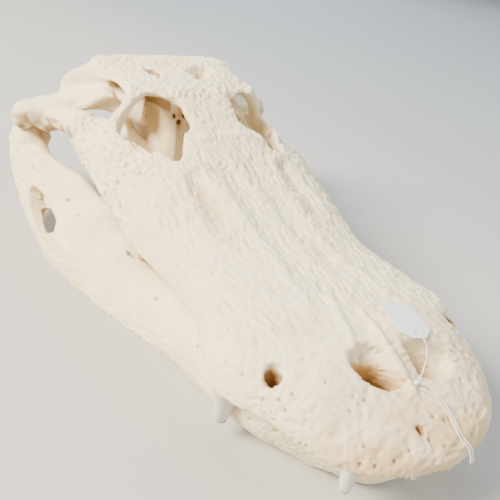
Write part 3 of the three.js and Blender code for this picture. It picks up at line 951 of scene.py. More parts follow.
@dataclass(frozen=True)
class Layout:
    """Where the sculpting frame lies in the model: y is measured from ahead of the snout tip."""

    ahead: float

    def metres(self, points: Array) -> Array:
        """Turns sculpting millimetres into the model's metres."""
        return (points - [0.0, self.ahead, 0.0]) * MM


def new_mesh(name: str, points: Array, faces: Sequence[Array]) -> bpy.types.Mesh:
    """Makes mesh data from corner points and arrays of faces."""
    mesh = bpy.data.meshes.new(name)
    listed = [row for group in faces if len(group) for row in group.tolist()]
    mesh.from_pydata(points.tolist(), [], listed)
    return mesh


def new_object(name: str, mesh: bpy.types.Mesh) -> bpy.types.Object:
    """Puts mesh data into the scene as an object."""
    made = bpy.data.objects.new(name, mesh)
    bpy.context.scene.collection.objects.link(made)
    return made


def mesh_arrays(mesh: bpy.types.Mesh) -> tuple[Array, Array, Array, Array]:
    """Reads a mesh back.

    Args:
        mesh: Any mesh.

    Returns:
        Its points, edges, the corner points of its faces in a row, and each face's first place there.
    """
    points = np.empty(len(mesh.vertices) * 3, np.float32)
    mesh.vertices.foreach_get("co", points)
    edges = np.empty(len(mesh.edges) * 2, np.int32)
    mesh.edges.foreach_get("vertices", edges)
    corners = np.empty(len(mesh.loops), np.int32)
    mesh.loops.foreach_get("vertex_index", corners)
    starts = np.empty(len(mesh.polygons), np.int32)
    mesh.polygons.foreach_get("loop_start", starts)
    return points.reshape(-1, 3).astype(float), edges.reshape(-1, 2), corners, starts


def bodies_of(count: int, edges: Array) -> Array:
    """Numbers the separate bodies of a mesh.

    Args:
        count: How many points it has.
        edges: Pairs of points that are joined.

    Returns:
        For each point, the lowest point number in its body.
    """
    body = np.arange(count)
    while True:
        low = np.minimum(body[edges[:, 0]], body[edges[:, 1]])
        spread = body.copy()
        np.minimum.at(spread, edges[:, 0], low)
        np.minimum.at(spread, edges[:, 1], low)
        spread = spread[spread]
        if (spread == body).all():
            return body
        body = spread


@dataclass(frozen=True)
class Suture:
    """A thin waving sheet that parts two bones.

    Attributes:
        axis: The axis that it stands across.
        at: Its place on that axis.
        low: Lowest corner of its reach.
        high: Highest corner of its reach.
        slant: How far it shifts along its axis for each step along y.
    """

    axis: int
    at: float
    low: Point
    high: Point
    slant: float = 0.0

    def mesh(self, number: int) -> bpy.types.Mesh:
        """Builds the sheet, thinner than a hair, as a closed mesh."""
        others = [axis for axis in range(3) if axis != self.axis]
        spans = [max(1, round((self.high[a] - self.low[a]) / SUTURE_STEP)) for a in others]
        grid = [np.linspace(self.low[a], self.high[a], n + 1) for a, n in zip(others, spans)]
        first, second = np.meshgrid(*grid, indexing="ij")
        flat = np.zeros((first.size, 3))
        flat[:, others[0]] = first.ravel()
        flat[:, others[1]] = second.ravel()
        wave = Noise(40 + number)(flat, SUTURE_WAVE_LENGTH) * SUTURE_WAVE
        across = self.at + wave + self.slant * (flat[:, 1] - self.low[1])
        sheets = []
        for offset in (-SUTURE_GAP / 2, SUTURE_GAP / 2):
            sheet = flat.copy()
            sheet[:, self.axis] = across + offset
            sheets.append(sheet)
        rows, columns = spans[0] + 1, spans[1] + 1
        index = np.arange(rows * columns).reshape(rows, columns)
        corners = [index[:-1, :-1], index[1:, :-1], index[1:, 1:], index[:-1, 1:]]
        halves = [np.stack([corners[0], corners[k], corners[k + 1]], -1) for k in (1, 2)]
        under = np.concatenate([half.reshape(-1, 3) for half in halves])
        rim = np.concatenate([index[:-1, 0], index[-1, :-1], index[:0:-1, -1], index[0, :0:-1]])
        after = np.roll(rim, -1)
        total = rows * columns
        wall = np.stack([after, rim, rim + total, after + total], -1)
        faces = [under, under[:, ::-1] + total, wall]
        mesh = new_mesh(f"suture_{number}", np.vstack(sheets), faces)
        facing = mesh.polygons[0].normal[self.axis]
        if facing > 0:
            mesh.flip_normals()
        return mesh


class Parting:
    """Parts a roughened skin into bones along its sutures."""

    def __init__(self, layout: Layout, sutures: Sequence[Suture], names: Sequence[str]) -> None:
        """Notes the sutures and the bones to look for, by the frame's names."""
        self.layout = layout
        self.sutures = sutures
        self.names = names

    def bones(self, skin: Skin) -> dict[str, bpy.types.Mesh]:
        """Cuts the skin and names each body by the frame's box that it fits best.

        Args:
            skin: The roughened surface.

        Returns:
            Mesh data in metres by bone name.
        """
        shaped = skin.shaped()
        uncut = new_mesh("uncut", shaped.points, [shaped.triangles, shaped.quads])
        numbers = uncut.attributes.new(ORIGIN, "INT", "POINT")
        numbers.data.foreach_set("value", np.arange(1, len(shaped.points) + 1, dtype=np.int32))
        whole = new_object("uncut", uncut)
        sheets = bpy.data.collections.new("sutures")
        bpy.context.scene.collection.children.link(sheets)
        for number, suture in enumerate(self.sutures):
            sheets.objects.link(bpy.data.objects.new(f"suture_{number}", suture.mesh(number)))
        boolean = whole.modifiers.new("part", "BOOLEAN")
        boolean.operation = "DIFFERENCE"
        boolean.operand_type = "COLLECTION"
        boolean.solver = "MANIFOLD"
        boolean.collection = sheets
        graph = bpy.context.evaluated_depsgraph_get()
        parted = bpy.data.meshes.new_from_object(whole.evaluated_get(graph))
        points, edges, corners, starts = mesh_arrays(parted)
        body = bodies_of(len(points), edges)
        origin = np.empty(len(points), np.int32)
        parted.attributes[ORIGIN].data.foreach_get("value", origin)
        marks = carried(skin, origin - 1, points)
        made = {}
        owner = self.owners(points, body)
        ends = np.append(starts[1:], len(corners))
        sizes = ends - starts
        face_body = body[corners[starts]]
        for name in self.names:
            chosen = np.isin(face_body, owner[name])
            if not chosen.any():
                log.warning("no body fits %s", name)
                continue
            made[name] = self.piece(name, points, corners, starts[chosen], sizes[chosen], marks)
        for sheet in list(sheets.objects):
            bpy.data.objects.remove(sheet)
        bpy.data.collections.remove(sheets)
        bpy.data.objects.remove(whole)
        return made

    def owners(self, points: Array, body: Array) -> dict[str, list[int]]:
        """Gives each bone the bodies whose boxes lie nearest to its own box in the frame."""
        boxes = {name: np.array(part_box(name)) for name in self.names}
        taken: dict[str, list[int]] = {name: [] for name in self.names}
        metres = self.layout.metres(points)
        for number, count in zip(*np.unique(body, return_counts=True)):
            if count < SCRAP_POINTS:
                continue
            spots = metres[body == number]
            box = np.array([spots.min(axis=0), spots.max(axis=0)])
            gaps = {name: float(np.abs(box - boxes[name]).sum()) for name in self.names}
            if count < SMALL_POINTS:
                middle = spots.mean(axis=0)
                gaps = {
                    name: float(np.linalg.norm(middle - np.clip(middle, *boxes[name]))) + 0.01 * gaps[name]
                    for name in self.names
                }
            best = min(gaps, key=gaps.get)
            taken[best].append(int(number))
            log.info("body of %d points is %s, %.0f mm off its box in all", count, best, gaps[best] / MM)
        return taken

    def piece(
        self,
        name: str,
        points: Array,
        corners: Array,
        starts: Array,
        sizes: Array,
        marks: dict[str, Array],
    ) -> bpy.types.Mesh:
        """Makes one bone's mesh data.

        Args:
            name: The bone's name.
            points: All points of the parted skin.
            corners: Corner points of all faces in a row.
            starts: First corner of each face of this bone.
            sizes: How many corners each of them has.
            marks: Marks of stain and painted shade on all points.

        Returns:
            The mesh data in metres, with its marks of stain and painted shade.
        """
        faces = [corners[a : a + n] for a, n in zip(starts.tolist(), sizes.tolist())]
        used_points = np.unique(np.concatenate(faces))
        renumber = np.zeros(len(points), int)
        renumber[used_points] = np.arange(len(used_points))
        mesh = bpy.data.meshes.new(name)
        placed = self.layout.metres(points[used_points])
        mesh.from_pydata(placed.tolist(), [], [renumber[face].tolist() for face in faces])
        add_marks(mesh, {mark: amount[used_points] for mark, amount in marks.items()})
        smooth(mesh)
        return mesh


def carried(skin: Skin, origin: Array, points: Array) -> dict[str, Array]:
    """Carries a skin's marks of stain and painted shade over to the points that are left after parting.

    Args:
        skin: The skin before parting.
        origin: For each point, its number on the skin, or -1 along a suture.
        points: The points, in millimetres.

    Returns:
        The marks by name.
    """
    tree = KDTree(len(skin.form.points))
    for number, place in enumerate(skin.shaped().points.tolist()):
        tree.insert(place, number)
    tree.balance()
    source = origin.copy()
    for number in np.nonzero(origin < 0)[0].tolist():
        source[number] = tree.find(points[number])[1]
    return {name: amount[source] for name, amount in skin.marks.items()}


def add_marks(mesh: bpy.types.Mesh, marks: dict[str, Array]) -> None:
    """Stores the marks of stain and painted shade on a mesh, one number for each point."""
    for name in STAIN_AND_SHADE_MARKS:
        layer = mesh.attributes.new(name, "FLOAT", "POINT")
        amount = marks.get(name, np.zeros(len(mesh.vertices)))
        layer.data.foreach_set("value", amount.astype(np.float32))


def smooth(mesh: bpy.types.Mesh) -> None:
    """Shades a mesh smooth but for its sharp edges."""
    mesh.shade_smooth()
    mesh.set_sharp_from_angle(angle=SHARP_ANGLE)


@dataclass(frozen=True)
class Face:
    """The upper jaw and face: a broad low box with rounded shoulders."""

    half_width: Profile = Profile(
        (
            (12, 9), (15, 27), (22, 45), (39, 65), (61, 80), (82, 87), (111, 99), (128, 102.5), (159, 97),
            (204, 87), (248, 90.5), (290, 98), (332, 101),
        )
    )
    widest_at: Profile = Profile(
        ((12, 50), (39, 54), (124, 56), (159, 61), (214, 69), (274, 80), (332, 88))
    )
    top: Profile = Profile(
        (
            (12, 58), (20, 65), (34, 72), (57, 82), (85, 94), (120, 96), (160, 98), (205, 103), (250, 114),
            (290, 126), (312, 134), (332, 142),
        )
    )
    tooth_line: Profile = Profile(
        (
            (12, 50), (20, 53), (30, 51), (45, 49.5), (62, 53), (78, 54), (90, 52), (102, 46), (112, 43),
            (130, 41), (165, 43), (204, 47), (250, 46), (285, 48), (305, 55), (332, 67),
        )
    )
    over: float = 2.35
    under: float = 6.0

    def form(self, drop: float = 0.0) -> Form:
        """Makes the face, lowered by a drop."""

        def place(t: Array, angle: Array) -> Array:
            y = FACE_FRONT + (FACE_BACK - FACE_FRONT) * t**1.4
            c, s = np.cos(angle), np.sin(angle)
            upper = s >= 0
            level = self.widest_at(y)
            reach = np.where(upper, self.top(y) - level, level - self.tooth_line(y))
            x = self.half_width(y) * np.where(upper, boxy(c, self.over), boxy(c, self.under))
            z = level + reach * np.where(upper, boxy(s, self.over), boxy(s, self.under))
            return np.stack([x, y, z - drop], -1)

        return loft(place, 128, 160)

    def height(self, x: Array | float, y: Array | float) -> Array:
        """Gives the height of the upper surface over a point in plan."""
        share = np.minimum(1, np.abs(x) / self.half_width(y))
        rise = (1 - share**self.over) ** (1 / self.over)
        return self.widest_at(y) + (self.top(y) - self.widest_at(y)) * rise


@dataclass(frozen=True)
class Tooth:
    """A peg tooth hung from the tooth line, blunt at its worn tip."""

    name: str
    x: float
    y: float
    length: float
    radius: float
    out: float
    back: float
    root: float = 6.0

    def form(self, face: Face, swell: float = 0.0) -> Form:
        """Makes the tooth where the face carries it, swollen a little for its socket."""
        length, radius = self.length + swell, self.radius + swell
        lean = np.array(
            Matrix.Rotation(self.out, 3, "Y") @ Matrix.Rotation(self.back, 3, "X")
        )
        centre = np.array([self.x, self.y, float(face.tooth_line(self.y)) + 2])

        def place(t: Array, angle: Array) -> Array:
            tip = np.clip(t / 0.16, 0, 1)
            share = np.clip((t - 0.16) / 0.84, 0, 1)
            round_tip = np.sqrt(1 - (1 - tip) ** 2)
            wide = radius * (0.5 + 0.5 * share**0.6) * round_tip
            height = -length + (length + self.root) * (0.06 * tip + 0.94 * share)
            spot = np.stack([wide * np.cos(angle), 0.92 * wide * np.sin(angle), height], -1)
            return spot @ lean.T + centre

        return loft(place, 48, 40)


@dataclass
class Dentition:
    """The teeth that show under the upper lip."""

    paired: tuple[Tooth, ...] = (
        Tooth("maxilla", 94.5, 124, 30, 9, -0.06, 0.12),
        Tooth("premaxilla", 56, 38.5, 25, 6.6, 0, -0.05),
    )
    front: tuple[Tooth, ...] = (
        Tooth("tooth_front_right", -21, 21, 12, 3.4, 0.1, -0.2, 4.0),
        Tooth("tooth_front_middle", 4.6, 18, 12, 4, 0, -0.25, 4.0),
        Tooth("tooth_front_left", 12.5, 18.5, 9, 3, 0, -0.25, 4.0),
    )
    smaller_left: float = 0.95

    def teeth(self) -> list[Tooth]:
        """Lists all the teeth."""
        listed = []
        for side in Side:
            grown = 1.0 if side is Side.RIGHT else self.smaller_left
            for tooth in self.paired:
                listed.append(
                    Tooth(
                        f"tooth_{tooth.name}_{side.label}", side.value * tooth.x, tooth.y,
                        tooth.length * grown, tooth.radius * grown, -side.value * tooth.out, tooth.back,
                    )
                )
        return listed + list(self.front)

    def build(self, layout: Layout, face: Face, finish: ToothFinish) -> None:
        """Makes each tooth as a piece of its own."""
        material = finish.material()
        for tooth in self.teeth():
            form = tooth.form(face)
            mesh = new_mesh(tooth.name, layout.metres(form.points), [form.triangles, form.quads])
            up = form.points[:, 2] - form.points[:, 2].min()
            share = up / up.max()
            marks = {"tip": 1 - smooth_step(0.1, 0.26, share), "neck": smooth_step(0.7, 0.9, share)}
            for name, amount in marks.items():
                layer = mesh.attributes.new(name, "FLOAT", "POINT")
                layer.data.foreach_set("value", amount.astype(np.float32))
            smooth(mesh)
            mesh.materials.append(material)
            piece = new_object(tooth.name, mesh)
            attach(piece, "root")
            log.info("tooth %s", tooth.name)


@dataclass
class Cranium:
    """The skull without its lower jaw."""

    pitch: float
    face: Face = field(default_factory=Face)
    cheek_upper: Edge = Edge(
        x=Profile(
            (
                (296, 50), (322, 56), (340, 67), (352, 72), (365, 75), (385, 77), (407, 79), (427, 83),
                (438, 94), (448, 101), (475, 109), (500, 118),
            )
        ),
        z=Profile(
            (
                (296, 120), (322, 124), (340, 132), (352, 133), (365, 137), (385, 140), (407, 138),
                (427, 133), (438, 131), (448, 134), (475, 128), (500, 122),
            )
        ),
    )
    cheek_lower: Edge = Edge(
        x=Profile(
            (
                (296, 98), (337, 104), (365, 108), (411, 110), (439, 112), (455, 115), (473, 121),
                (485, 125), (500, 135),
            )
        ),
        z=Profile(
            (
                (296, 50), (308, 54), (337, 73), (365, 81), (411, 89), (439, 95), (451, 106), (473, 108),
                (485, 106), (500, 100),
            )
        ),
    )
    orbit_rim: tuple[tuple[float, float], ...] = (
        (54, 314), (63, 331), (70, 349), (74, 367), (76, 384), (72, 394), (60, 394), (48, 391), (38, 382),
        (30, 370), (25, 357), (28, 346), (36, 342), (41, 335), (43, 326), (47, 317),
    )
    foramina: tuple[Point, ...] = (
        (-93, 93, 59), (-82, 77, 68), (-80, 60, 55), (6, 30, 70), (-1, 34, 72), (-4, 18, 64), (-57, 32, 58),
        (-50, 27, 59), (-39, 23, 62), (-52, 37, 66), (-39, 57, 79), (-51, 55, 76), (1, 51, 80), (39, 49, 76),
        (-56, 256, 108), (-34, 285, 124), (-83, 83, 71), (-76, 80, 76), (-89, 91, 66), (-86, 80, 59),
        (-103, 123, 58), (-94, 110, 72), (-94, 216, 69), (-12, 24, 67), (-28, 24, 65), (24, 28, 66),
        (52, 37, 66), (57, 32, 58), (83, 83, 71), (93, 93, 59), (76, 60, 62), (34, 24, 60),
    )
    brow_half: Profile = Profile(
        ((300, 44), (318, 40), (330, 38), (347, 31), (362, 26), (388, 27), (402, 34), (420, 60))
    )
    brow_top: Profile = Profile(
        ((300, 125), (318, 134), (332, 142), (347, 151), (362, 160), (388, 170), (420, 172))
    )
    palate_half: Pairs = (
        (16, 300), (22, 330), (20, 362), (30, 394), (60, 408), (74, 422), (70, 440), (44, 448), (14, 438),
    )
    nostril_right: Pairs = (
        (-33, 85), (-37, 77), (-33, 68), (-25, 60), (-12, 54), (-4, 53), (-4, 60), (-7, 72), (-11, 83),
        (-21, 88),
    )
    nostril_left: Pairs = (
        (8, 80), (8, 70), (9, 60), (14, 53), (25, 49), (37, 51), (44, 58), (42, 68), (32, 74), (20, 79),
    )
    passage_right: Pairs = (
        (-33, 83), (-36, 77), (-32, 68), (-24, 61), (-13, 56), (-5, 54.5), (-6, 61), (-9, 69), (-13, 76),
        (-22, 81),
    )
    passage_left: Pairs = ((7, 81), (7, 71), (9, 62), (14, 61), (14, 71), (12, 80))
    table_hole: Pairs = ((-36, 448), (-27, 444), (-25.5, 429), (-31, 418), (-38, 427))
    table_bowl: Pairs = (
        (8, 446), (22, 458), (38, 461), (45, 452), (39, 437), (23, 420), (8, 411), (3, 423),
    )
    table_slit: Pairs = ((9, 433), (15, 433), (29, 452), (23, 455))
    nerve_holes: tuple[Point, ...] = ((-9.5, 399.5, 140), (-15.5, 400, 133.5), (-20, 405, 138))
    side_crest: Pairs = (
        (52, 312), (44, 308), (34, 294), (30, 263), (29, 240), (27, 215), (26, 190), (30, 154), (35, 126),
    )
    knuckles: tuple[tuple[Point, Point], ...] = (
        ((143, 512, 108), (13, 12, 15)),
        ((120, 518, 107), (13, 12, 14)),
    )

    def brow(self) -> Form:
        """Makes the frontal bar between the orbits, hollowed along its middle."""
        half = self.brow_half
        top = self.brow_top

        def place(t: Array, angle: Array) -> Array:
            y = 300 + 120 * t
            across, up = boxy(np.cos(angle), 3), boxy(np.sin(angle), 3)
            hollow = np.where(up > 0, 3.5 * (1 - across * across) * smooth_step(330, 365, y), 0)
            return np.stack([half(y) * across, y, top(y) - 8 + 8 * up - hollow], -1)

        return loft(place, 64, 40)

    def cheek(self, side: Side) -> Form:
        """Makes the bar from the face below the orbit back to the jaw joint."""
        thick = Profile(((296, 14), (400, 12), (500, 20)))
        return band(side, (296, 500), self.cheek_lower, self.cheek_upper, thick, 4)

    def postorbital(self, side: Side) -> Form:
        """Makes the round bar behind the orbit."""
        s = side.value
        path = [(s * 60, 403, 164), (s * 67, 401, 155), (s * 74, 404, 142), (s * 81, 407, 124)]
        return limb(path, ((0, 9), (0.35, 6.4), (0.75, 6.2), (1, 9)), ((0, 6), (0.5, 5.2), (1, 7)))

    def table(self) -> Form:
        """Makes the flat skull table, drawn out behind into two corners."""
        half = Profile(((386, 58), (394, 64), (414, 67), (440, 69), (475, 75), (490, 78), (500, 74)))
        drop = Profile(((386, 7), (400, 7), (440, 6), (490, 1.5), (500, 1.5)))
        level = Profile(((386, 164), (394, 168), (404, 171), (432, TABLE_TOP), (500, TABLE_TOP)))
        thick = Profile(((386, 4), (400, 8), (425, 15), (500, 15)))

        def place(t: Array, angle: Array) -> Array:
            across, up = boxy(np.cos(angle), 6), boxy(np.sin(angle), 6)
            y = 386 + 114 * t
            notch = smooth_step(0.86, 1.0, t) * (6 * (across**2 - 0.55) - 3 * across**6)
            z = level(y) - 0.5 * thick(y) * (1 - up) - drop(y) * across**4
            return np.stack([half(y) * across, y - notch, z], -1)

        return loft(place, 112, 57)

    def braincase(self) -> Form:
        """Makes the walls round the brain under the table."""
        half = Profile(((400, 22), (420, 28), (450, 36), (498, 46)))

        def place(t: Array, angle: Array) -> Array:
            bottom, top = 66 + 12 * t, TABLE_TOP - 6
            up = boxy(np.sin(angle), 4)
            waist = 1 - 0.22 * (1 - up * up)
            y = 400 + 94 * t
            x = half(y) * waist * boxy(np.cos(angle), 4)
            lean = 6 * up * smooth_step(0.9, 1.0, t)
            return np.stack([x, y - lean, (top + bottom) / 2 + (top - bottom) / 2 * up], -1)

        return loft(place, 64, 30)

    def nape(self) -> list[Form]:
        """Makes the round condyle that meets the neck, over a downward keel."""
        keel = limb(
            [(0, 488, 110), (0, 492, 84), (0, 486, 60)], ((0, 24), (0.5, 25), (1, 20)), ((0, 12), (1, 9))
        )
        return [lump((0, 502, 98), (15, 13, 13)), keel]

    def wing(self, side: Side) -> list[Form]:
        """Makes the horn of the table's back corner and the wing of the braincase under it."""
        s = side.value
        horn = limb(
            [(s * 60, 474, 160), (s * 78, 493, 156), (s * 91, 506, 145), (s * 98, 513, 134)],
            ((0, 11), (0.6, 9), (1, 7)), ((0, 11), (0.6, 11), (1, 8)), power=2.6,
        )
        under = limb(
            [(s * 20, 486, 128), (s * 60, 498, 138), (s * 98, 512, 134)],
            ((0, 9), (1, 8)), ((0, 26), (0.6, 20), (1, 11)), power=2.6,
        )
        return [horn, under]

    def quadrate(self, side: Side) -> list[Form]:
        """Makes the beam from the braincase to the jaw joint, with its two knuckles."""
        s = side.value
        beam = limb(
            [(s * 30, 444, 133), (s * 68, 476, 137), (s * 104, 501, 124), (s * 131, 514, 111)],
            ((0, 20), (0.4, 16), (0.7, 15), (1, 19)), ((0, 16), (0.4, 12), (0.7, 11), (1, 12)), power=2.6,
        )
        return [beam, *(lump((s * x, y, z), half) for (x, y, z), half in self.knuckles)]

    def temple(self, side: Side) -> Form:
        """Makes the sheet from the postorbital bar's head back to the quadrate."""
        lower = Edge(
            x=Profile(((406, 65), (430, 70), (445, 74), (458, 83), (466, 92), (490, 104), (512, 118))),
            z=Profile(((406, 164), (430, 156), (445, 149), (458, 139), (466, 132), (490, 123), (512, 116))),
        )
        upper = Edge(
            x=Profile(((406, 58), (454, 66), (480, 78), (512, 100))),
            z=Profile(((406, 169), (454, 157), (480, 146), (512, 130))),
        )
        return band(side, (406, 512), lower, upper, Profile(((406, 9), (512, 9))), 2)

    def palate(self) -> list[Form]:
        """Makes the roof of the mouth behind the face, with its limbs to the cheeks and quadrates."""
        outline = [*self.palate_half, *((-x, y) for x, y in reversed(self.palate_half))]
        forms = [column(outline, 50, PALATE_TOP), lump((0, 434, 68), (26, 24, 17))]
        for side in Side:
            s = side.value
            forms += [
                limb(
                    [(s * 54, 412, 58), (s * 76, 406, 66), (s * 92, 396, 94)],
                    ((0, 14), (0.5, 10), (1, 8)), ((0, 8), (0.5, 8), (1, 6)),
                ),
                limb(
                    [(s * 52, 418, 60), (s * 68, 426, 48), (s * 78, 434, 28)],
                    ((0, 22), (0.5, 20), (1, 12)), ((0, 6), (1, 4)),
                ),
                limb(
                    [(s * 28, 424, 66), (s * 44, 442, 92), (s * 62, 458, 122)],
                    ((0, 16), (1, 18)), ((0, 10), (1, 9)),
                ),
            ]
        return forms

    def pillar(self, side: Side) -> Form:
        """Makes the pillar in front of the orbit's inner wall."""
        s = side.value
        return limb(
            [(s * 26, 338, 142), (s * 19, 342, 104), (s * 17, 338, 58)],
            ((0, 11), (0.5, 8), (1, 10)), ((0, 12), (0.5, 9), (1, 12)),
        )

    def orbits(self) -> list[Form]:
        """Makes the two eye openings and the hollows under their rims, to be cut."""
        forms = []
        for side in Side:
            s = side.value
            rim = [(s * x, y) for x, y in self.orbit_rim]
            forms += [column(rim, PALATE_TOP, 186), lump((s * 52, 384, 131), (31, 35, 35), 40)]
        return forms

    def nostrils(self) -> list[Form]:
        """Makes the two nostrils, to be cut: a bowl each, with a passage beside the bar between them."""
        return [
            column(self.nostril_right, 72, 180, 0.3, (-3, -6), 87),
            column(self.nostril_left, 68, 180, 0.3, (-8, 2), 83),
            column(self.passage_right, 55, 84, 0.9, (6, 8)),
            column(self.passage_left, 58, 84, 0.8, (-6, 4)),
        ]

    def ears(self) -> list[Form]:
        """Makes the slots under the table's side rims, to be cut."""
        return [lump((side.value * 66, 438, 155), (19, 26, 7.5), 32) for side in Side]

    def chambers(self) -> list[Form]:
        """Makes the hollows under the quadrates' front edges, to be cut."""
        forms = []
        for side in Side:
            s = side.value
            forms += [
                limb(
                    [(s * 62, 420, 146), (s * 72, 434, 142), (s * 81, 448, 132), (s * 94, 456, 119)],
                    ((0, 8), (1, 9)), ((0, 9), (1, 9)),
                ),
                limb(
                    [(s * 60, 420, 122), (s * 70, 438, 118), (s * 84, 450, 108)],
                    ((0, 15), (1, 13)), ((0, 16), (1, 13)),
                ),
            ]
        return forms

    def block(self) -> Block:
        """Sculpts the whole cranium."""
        block = Block((-162, 4, 14), (162, 540, 184), self.pitch)
        block.add(self.table())
        for form in [self.braincase(), *self.nape(), *self.palate()]:
            block.add(form, 5)
        for side in Side:
            for form in [*self.wing(side), *self.quadrate(side)]:
                block.add(form, 8)
            block.add(self.temple(side), 4)
        for form in [*self.chambers(), *self.ears()]:
            block.cut(form, 3)
        block.add(self.face.form(), 5)
        block.add(self.brow(), 9)
        for side in Side:
            block.add(self.cheek(side), 8)
        for orbit in self.orbits():
            block.cut(orbit, 3)
        for side in Side:
            block.add(self.postorbital(side), 5)
            block.add(self.pillar(side), 6)
            pit = oval(side.value * 79, 97, 6, 7, 0)
            block.cut(column(pit, 60, 180), 2)
        for nostril in self.nostrils():
            block.cut(nostril, 2.5)
        block.cut(column(oval(-15, 31, 2.6, 2.6, 0), 60, 180), 1.2)
        block.cut(column(self.table_hole, 125, 180, 0.8), 2)
        block.cut(column(self.table_bowl, 161, 180, 0.6), 3)
        block.cut(column(self.table_slit, 125, 175), 2)
        return block

    def sutures(self) -> list[Suture]:
        """Lists the sheets that part the cranium into bones."""
        sheets = [
            Suture(1, 100, (-170, 0, 20), (170, 540, 120)),
            Suture(1, 299, (-170, 0, 20), (170, 540, 170)),
            Suture(2, 84, (-48, 295, 0), (48, 356, 0)),
            Suture(1, 387, (-82, 0, 142), (82, 0, 190)),
            Suture(2, 157, (-170, 383, 0), (170, 540, 0)),
            Suture(2, 71, (-52, 394, 0), (52, 474, 0)),
        ]
        for side in Side:
            s = side.value
            outer, bar = sorted((s * 57, s * 98)), sorted((s * 46, s * 98))
            joint = sorted((s * 110, s * 170))
            sheets += [
                Suture(0, s * 17, (0, 96, 20), (0, 303, 150)),
                Suture(0, s * 44, (0, 295, 20), (0, 356, 170)),
                Suture(0, s * 82, (0, 366, 40), (0, 436, 100)),
                Suture(0, s * 48, (0, 394, 67), (0, 540, 161)),
                Suture(2, 144, (outer[0], 376, 0), (outer[1], 424, 0)),
                Suture(1, 418, (bar[0], 0, 140), (bar[1], 0, 161)),
                Suture(0, s * 67.8, (0, 400, 80), (0, 502, 180), slant=s * 52 / 110),
                Suture(1, 501, (joint[0], 0, 88), (joint[1], 0, 150)),
            ]
        return sheets

    def names(self) -> list[str]:
        """Lists the bones by the frame's names."""
        paired = ["maxilla", "cheek", "postorbital_bar", "quadrate"]
        both = [f"{name}_{side.label}" for name in paired for side in Side]
        return ["premaxilla", "nasal", "frontal", "skull_table", "braincase", "palate", *both]

    def roughen(self, skin: Skin) -> None:
        """Gives the cranium its relief, stains and painted shade."""
        p = skin.form.points
        x, y, z = p.T
        wide = np.abs(x)
        lift = skin.normals[:, 2]
        out = skin.normals[:, 0] * np.sign(x)
        up = smooth_step(0.0, 0.45, lift)
        shell = np.maximum(up, smooth_step(0.2, 0.6, out) * (z > 45))
        ahead = (1 - smooth_step(85, 125, y)) * shell * smooth_step(46, 52, z)
        snout = up * (1 - smooth_step(385, 400, y)) * (1 - ahead) * (z > 88 - 30 * (y < 300))
        table = up * smooth_step(365, 395, y) * smooth_step(150, 162, z) * (wide < 76)
        cheek = shell * smooth_step(285, 330, y) * smooth_step(66, 76, wide) * (1 - smooth_step(143, 150, z))
        cheek = cheek * (1 - smooth_step(438, 452, y))
        cheek = cheek * (1 - smooth_step(128, 136, z) * smooth_step(425, 440, y))
        rear = smooth_step(445, 470, y) * smooth_step(96, 110, wide) * smooth_step(98, 106, z)
        drift = Noise(21)(p, 45)
        patchy = np.clip(0.62 + 0.9 * drift, 0.15, 1)
        other = np.clip(0.55 - 0.9 * drift, 0.1, 1)
        strands = np.clip(0.35 + smooth_step(0, 60, x) + 0.5 * Noise(22)(p, 60), 0, 1)
        self.forms(skin, up)
        # the last number of each carve is how much painted shade its hollows get
        skin.carve(snout * patchy, Braid(30, (5.2, 19.0, 7.0), 1.3, 7.0), 0.35)
        skin.carve(snout * other, Braid(36, (4.2, 8.0, 5.0), 1.0, 4.0), 0.35)
        skin.carve(snout * strands, Strands(44, (2.2, 34.0, 6.0), 0.5), 0.2)
        skin.carve(table, Braid(50, (6.0, 7.5, 6.0), 1.4, 3.0), 0.4)
        skin.carve(ahead, Braid(60, (13.0, 7.0, 8.0), 1.0, 12.0), 0.25)
        skin.carve(ahead, Braid(66, (6.0, 3.6, 4.2), 0.3, 6.0), 0.3)
        skin.carve(ahead * (1 - smooth_step(60, 76, z)), Braid(67, (8.0, 5.0, 2.8), 0.35, 6.0), 0.3)
        skin.carve(cheek, Braid(70, (4.2, 5.2, 11.0), 1.9, 2.5), 0.5)
        skin.carve(shell * (0.25 + 0.75 * ahead), Holes(80, 9.0, 0.15, 1.5, 0.5), 0.7)
        swells = 0.9 * Noise(8)(p, 24) + 0.3 * Noise(9)(p, 9) * (1 - 0.4 * ahead)
        skin.raise_by(swells * (0.5 + 0.5 * shell))
        skin.raise_by(rear * (1.8 * Noise(23)(p, 17) + 0.5 * Noise(24)(p, 7)))
        self.stain(skin)

    def forms(self, skin: Skin, up: Array) -> None:
        """Raises the long crests of the snout and sinks the hollows beside them."""
        skin.raise_by(up * skin.crest(self.side_crest, 10) * 1.7)
        skin.raise_by(-up * skin.crest([(46, 292), (47, 270), (49, 236)], 13) * 3.6)
        skin.raise_by(-up * skin.crest([(14, 300), (13, 240), (15, 170)], 11) * 1.3)
        skin.raise_by(up * skin.crest([(2, 330), (-2, 280), (2, 240), (-1, 180), (0, 130)], 9) * 0.6)
        skin.raise_by(up * skin.crest([(-27, 86), (-23, 98), (-19, 113), (-14, 132)], 6, False) * 2.0)
        skin.raise_by(up * skin.crest([(-4, 50), (-4, 64), (-5, 80), (-3, 96), (0, 113)], 4.5, False) * 2.2)
        skin.raise_by(up * skin.crest([(88, 118), (91, 130)], 20) * 2.0)

    def stain(self, skin: Skin) -> None:
        """Paints stains on the snout's front and a few patches and crumbs, and painted shade inside the
        openings, hollows and small holes.
        """
        p = skin.form.points
        x, y, z = p.T
        patches = np.clip(0.55 + 0.8 * Noise(90)(p, 18), 0, 1)
        low_front = (1 - smooth_step(24, 62, y)) * (1 - smooth_step(58, 76, z))
        skin.mark("tan", 1.6 * low_front * patches + 0.8 * (1 - smooth_step(20, 110, y)) * patches)
        skin.mark("pit", 0.35 * low_front * patches)
        # painted shade inside the small holes
        for centre in self.foramina:
            skin.hole(centre, 1.3)
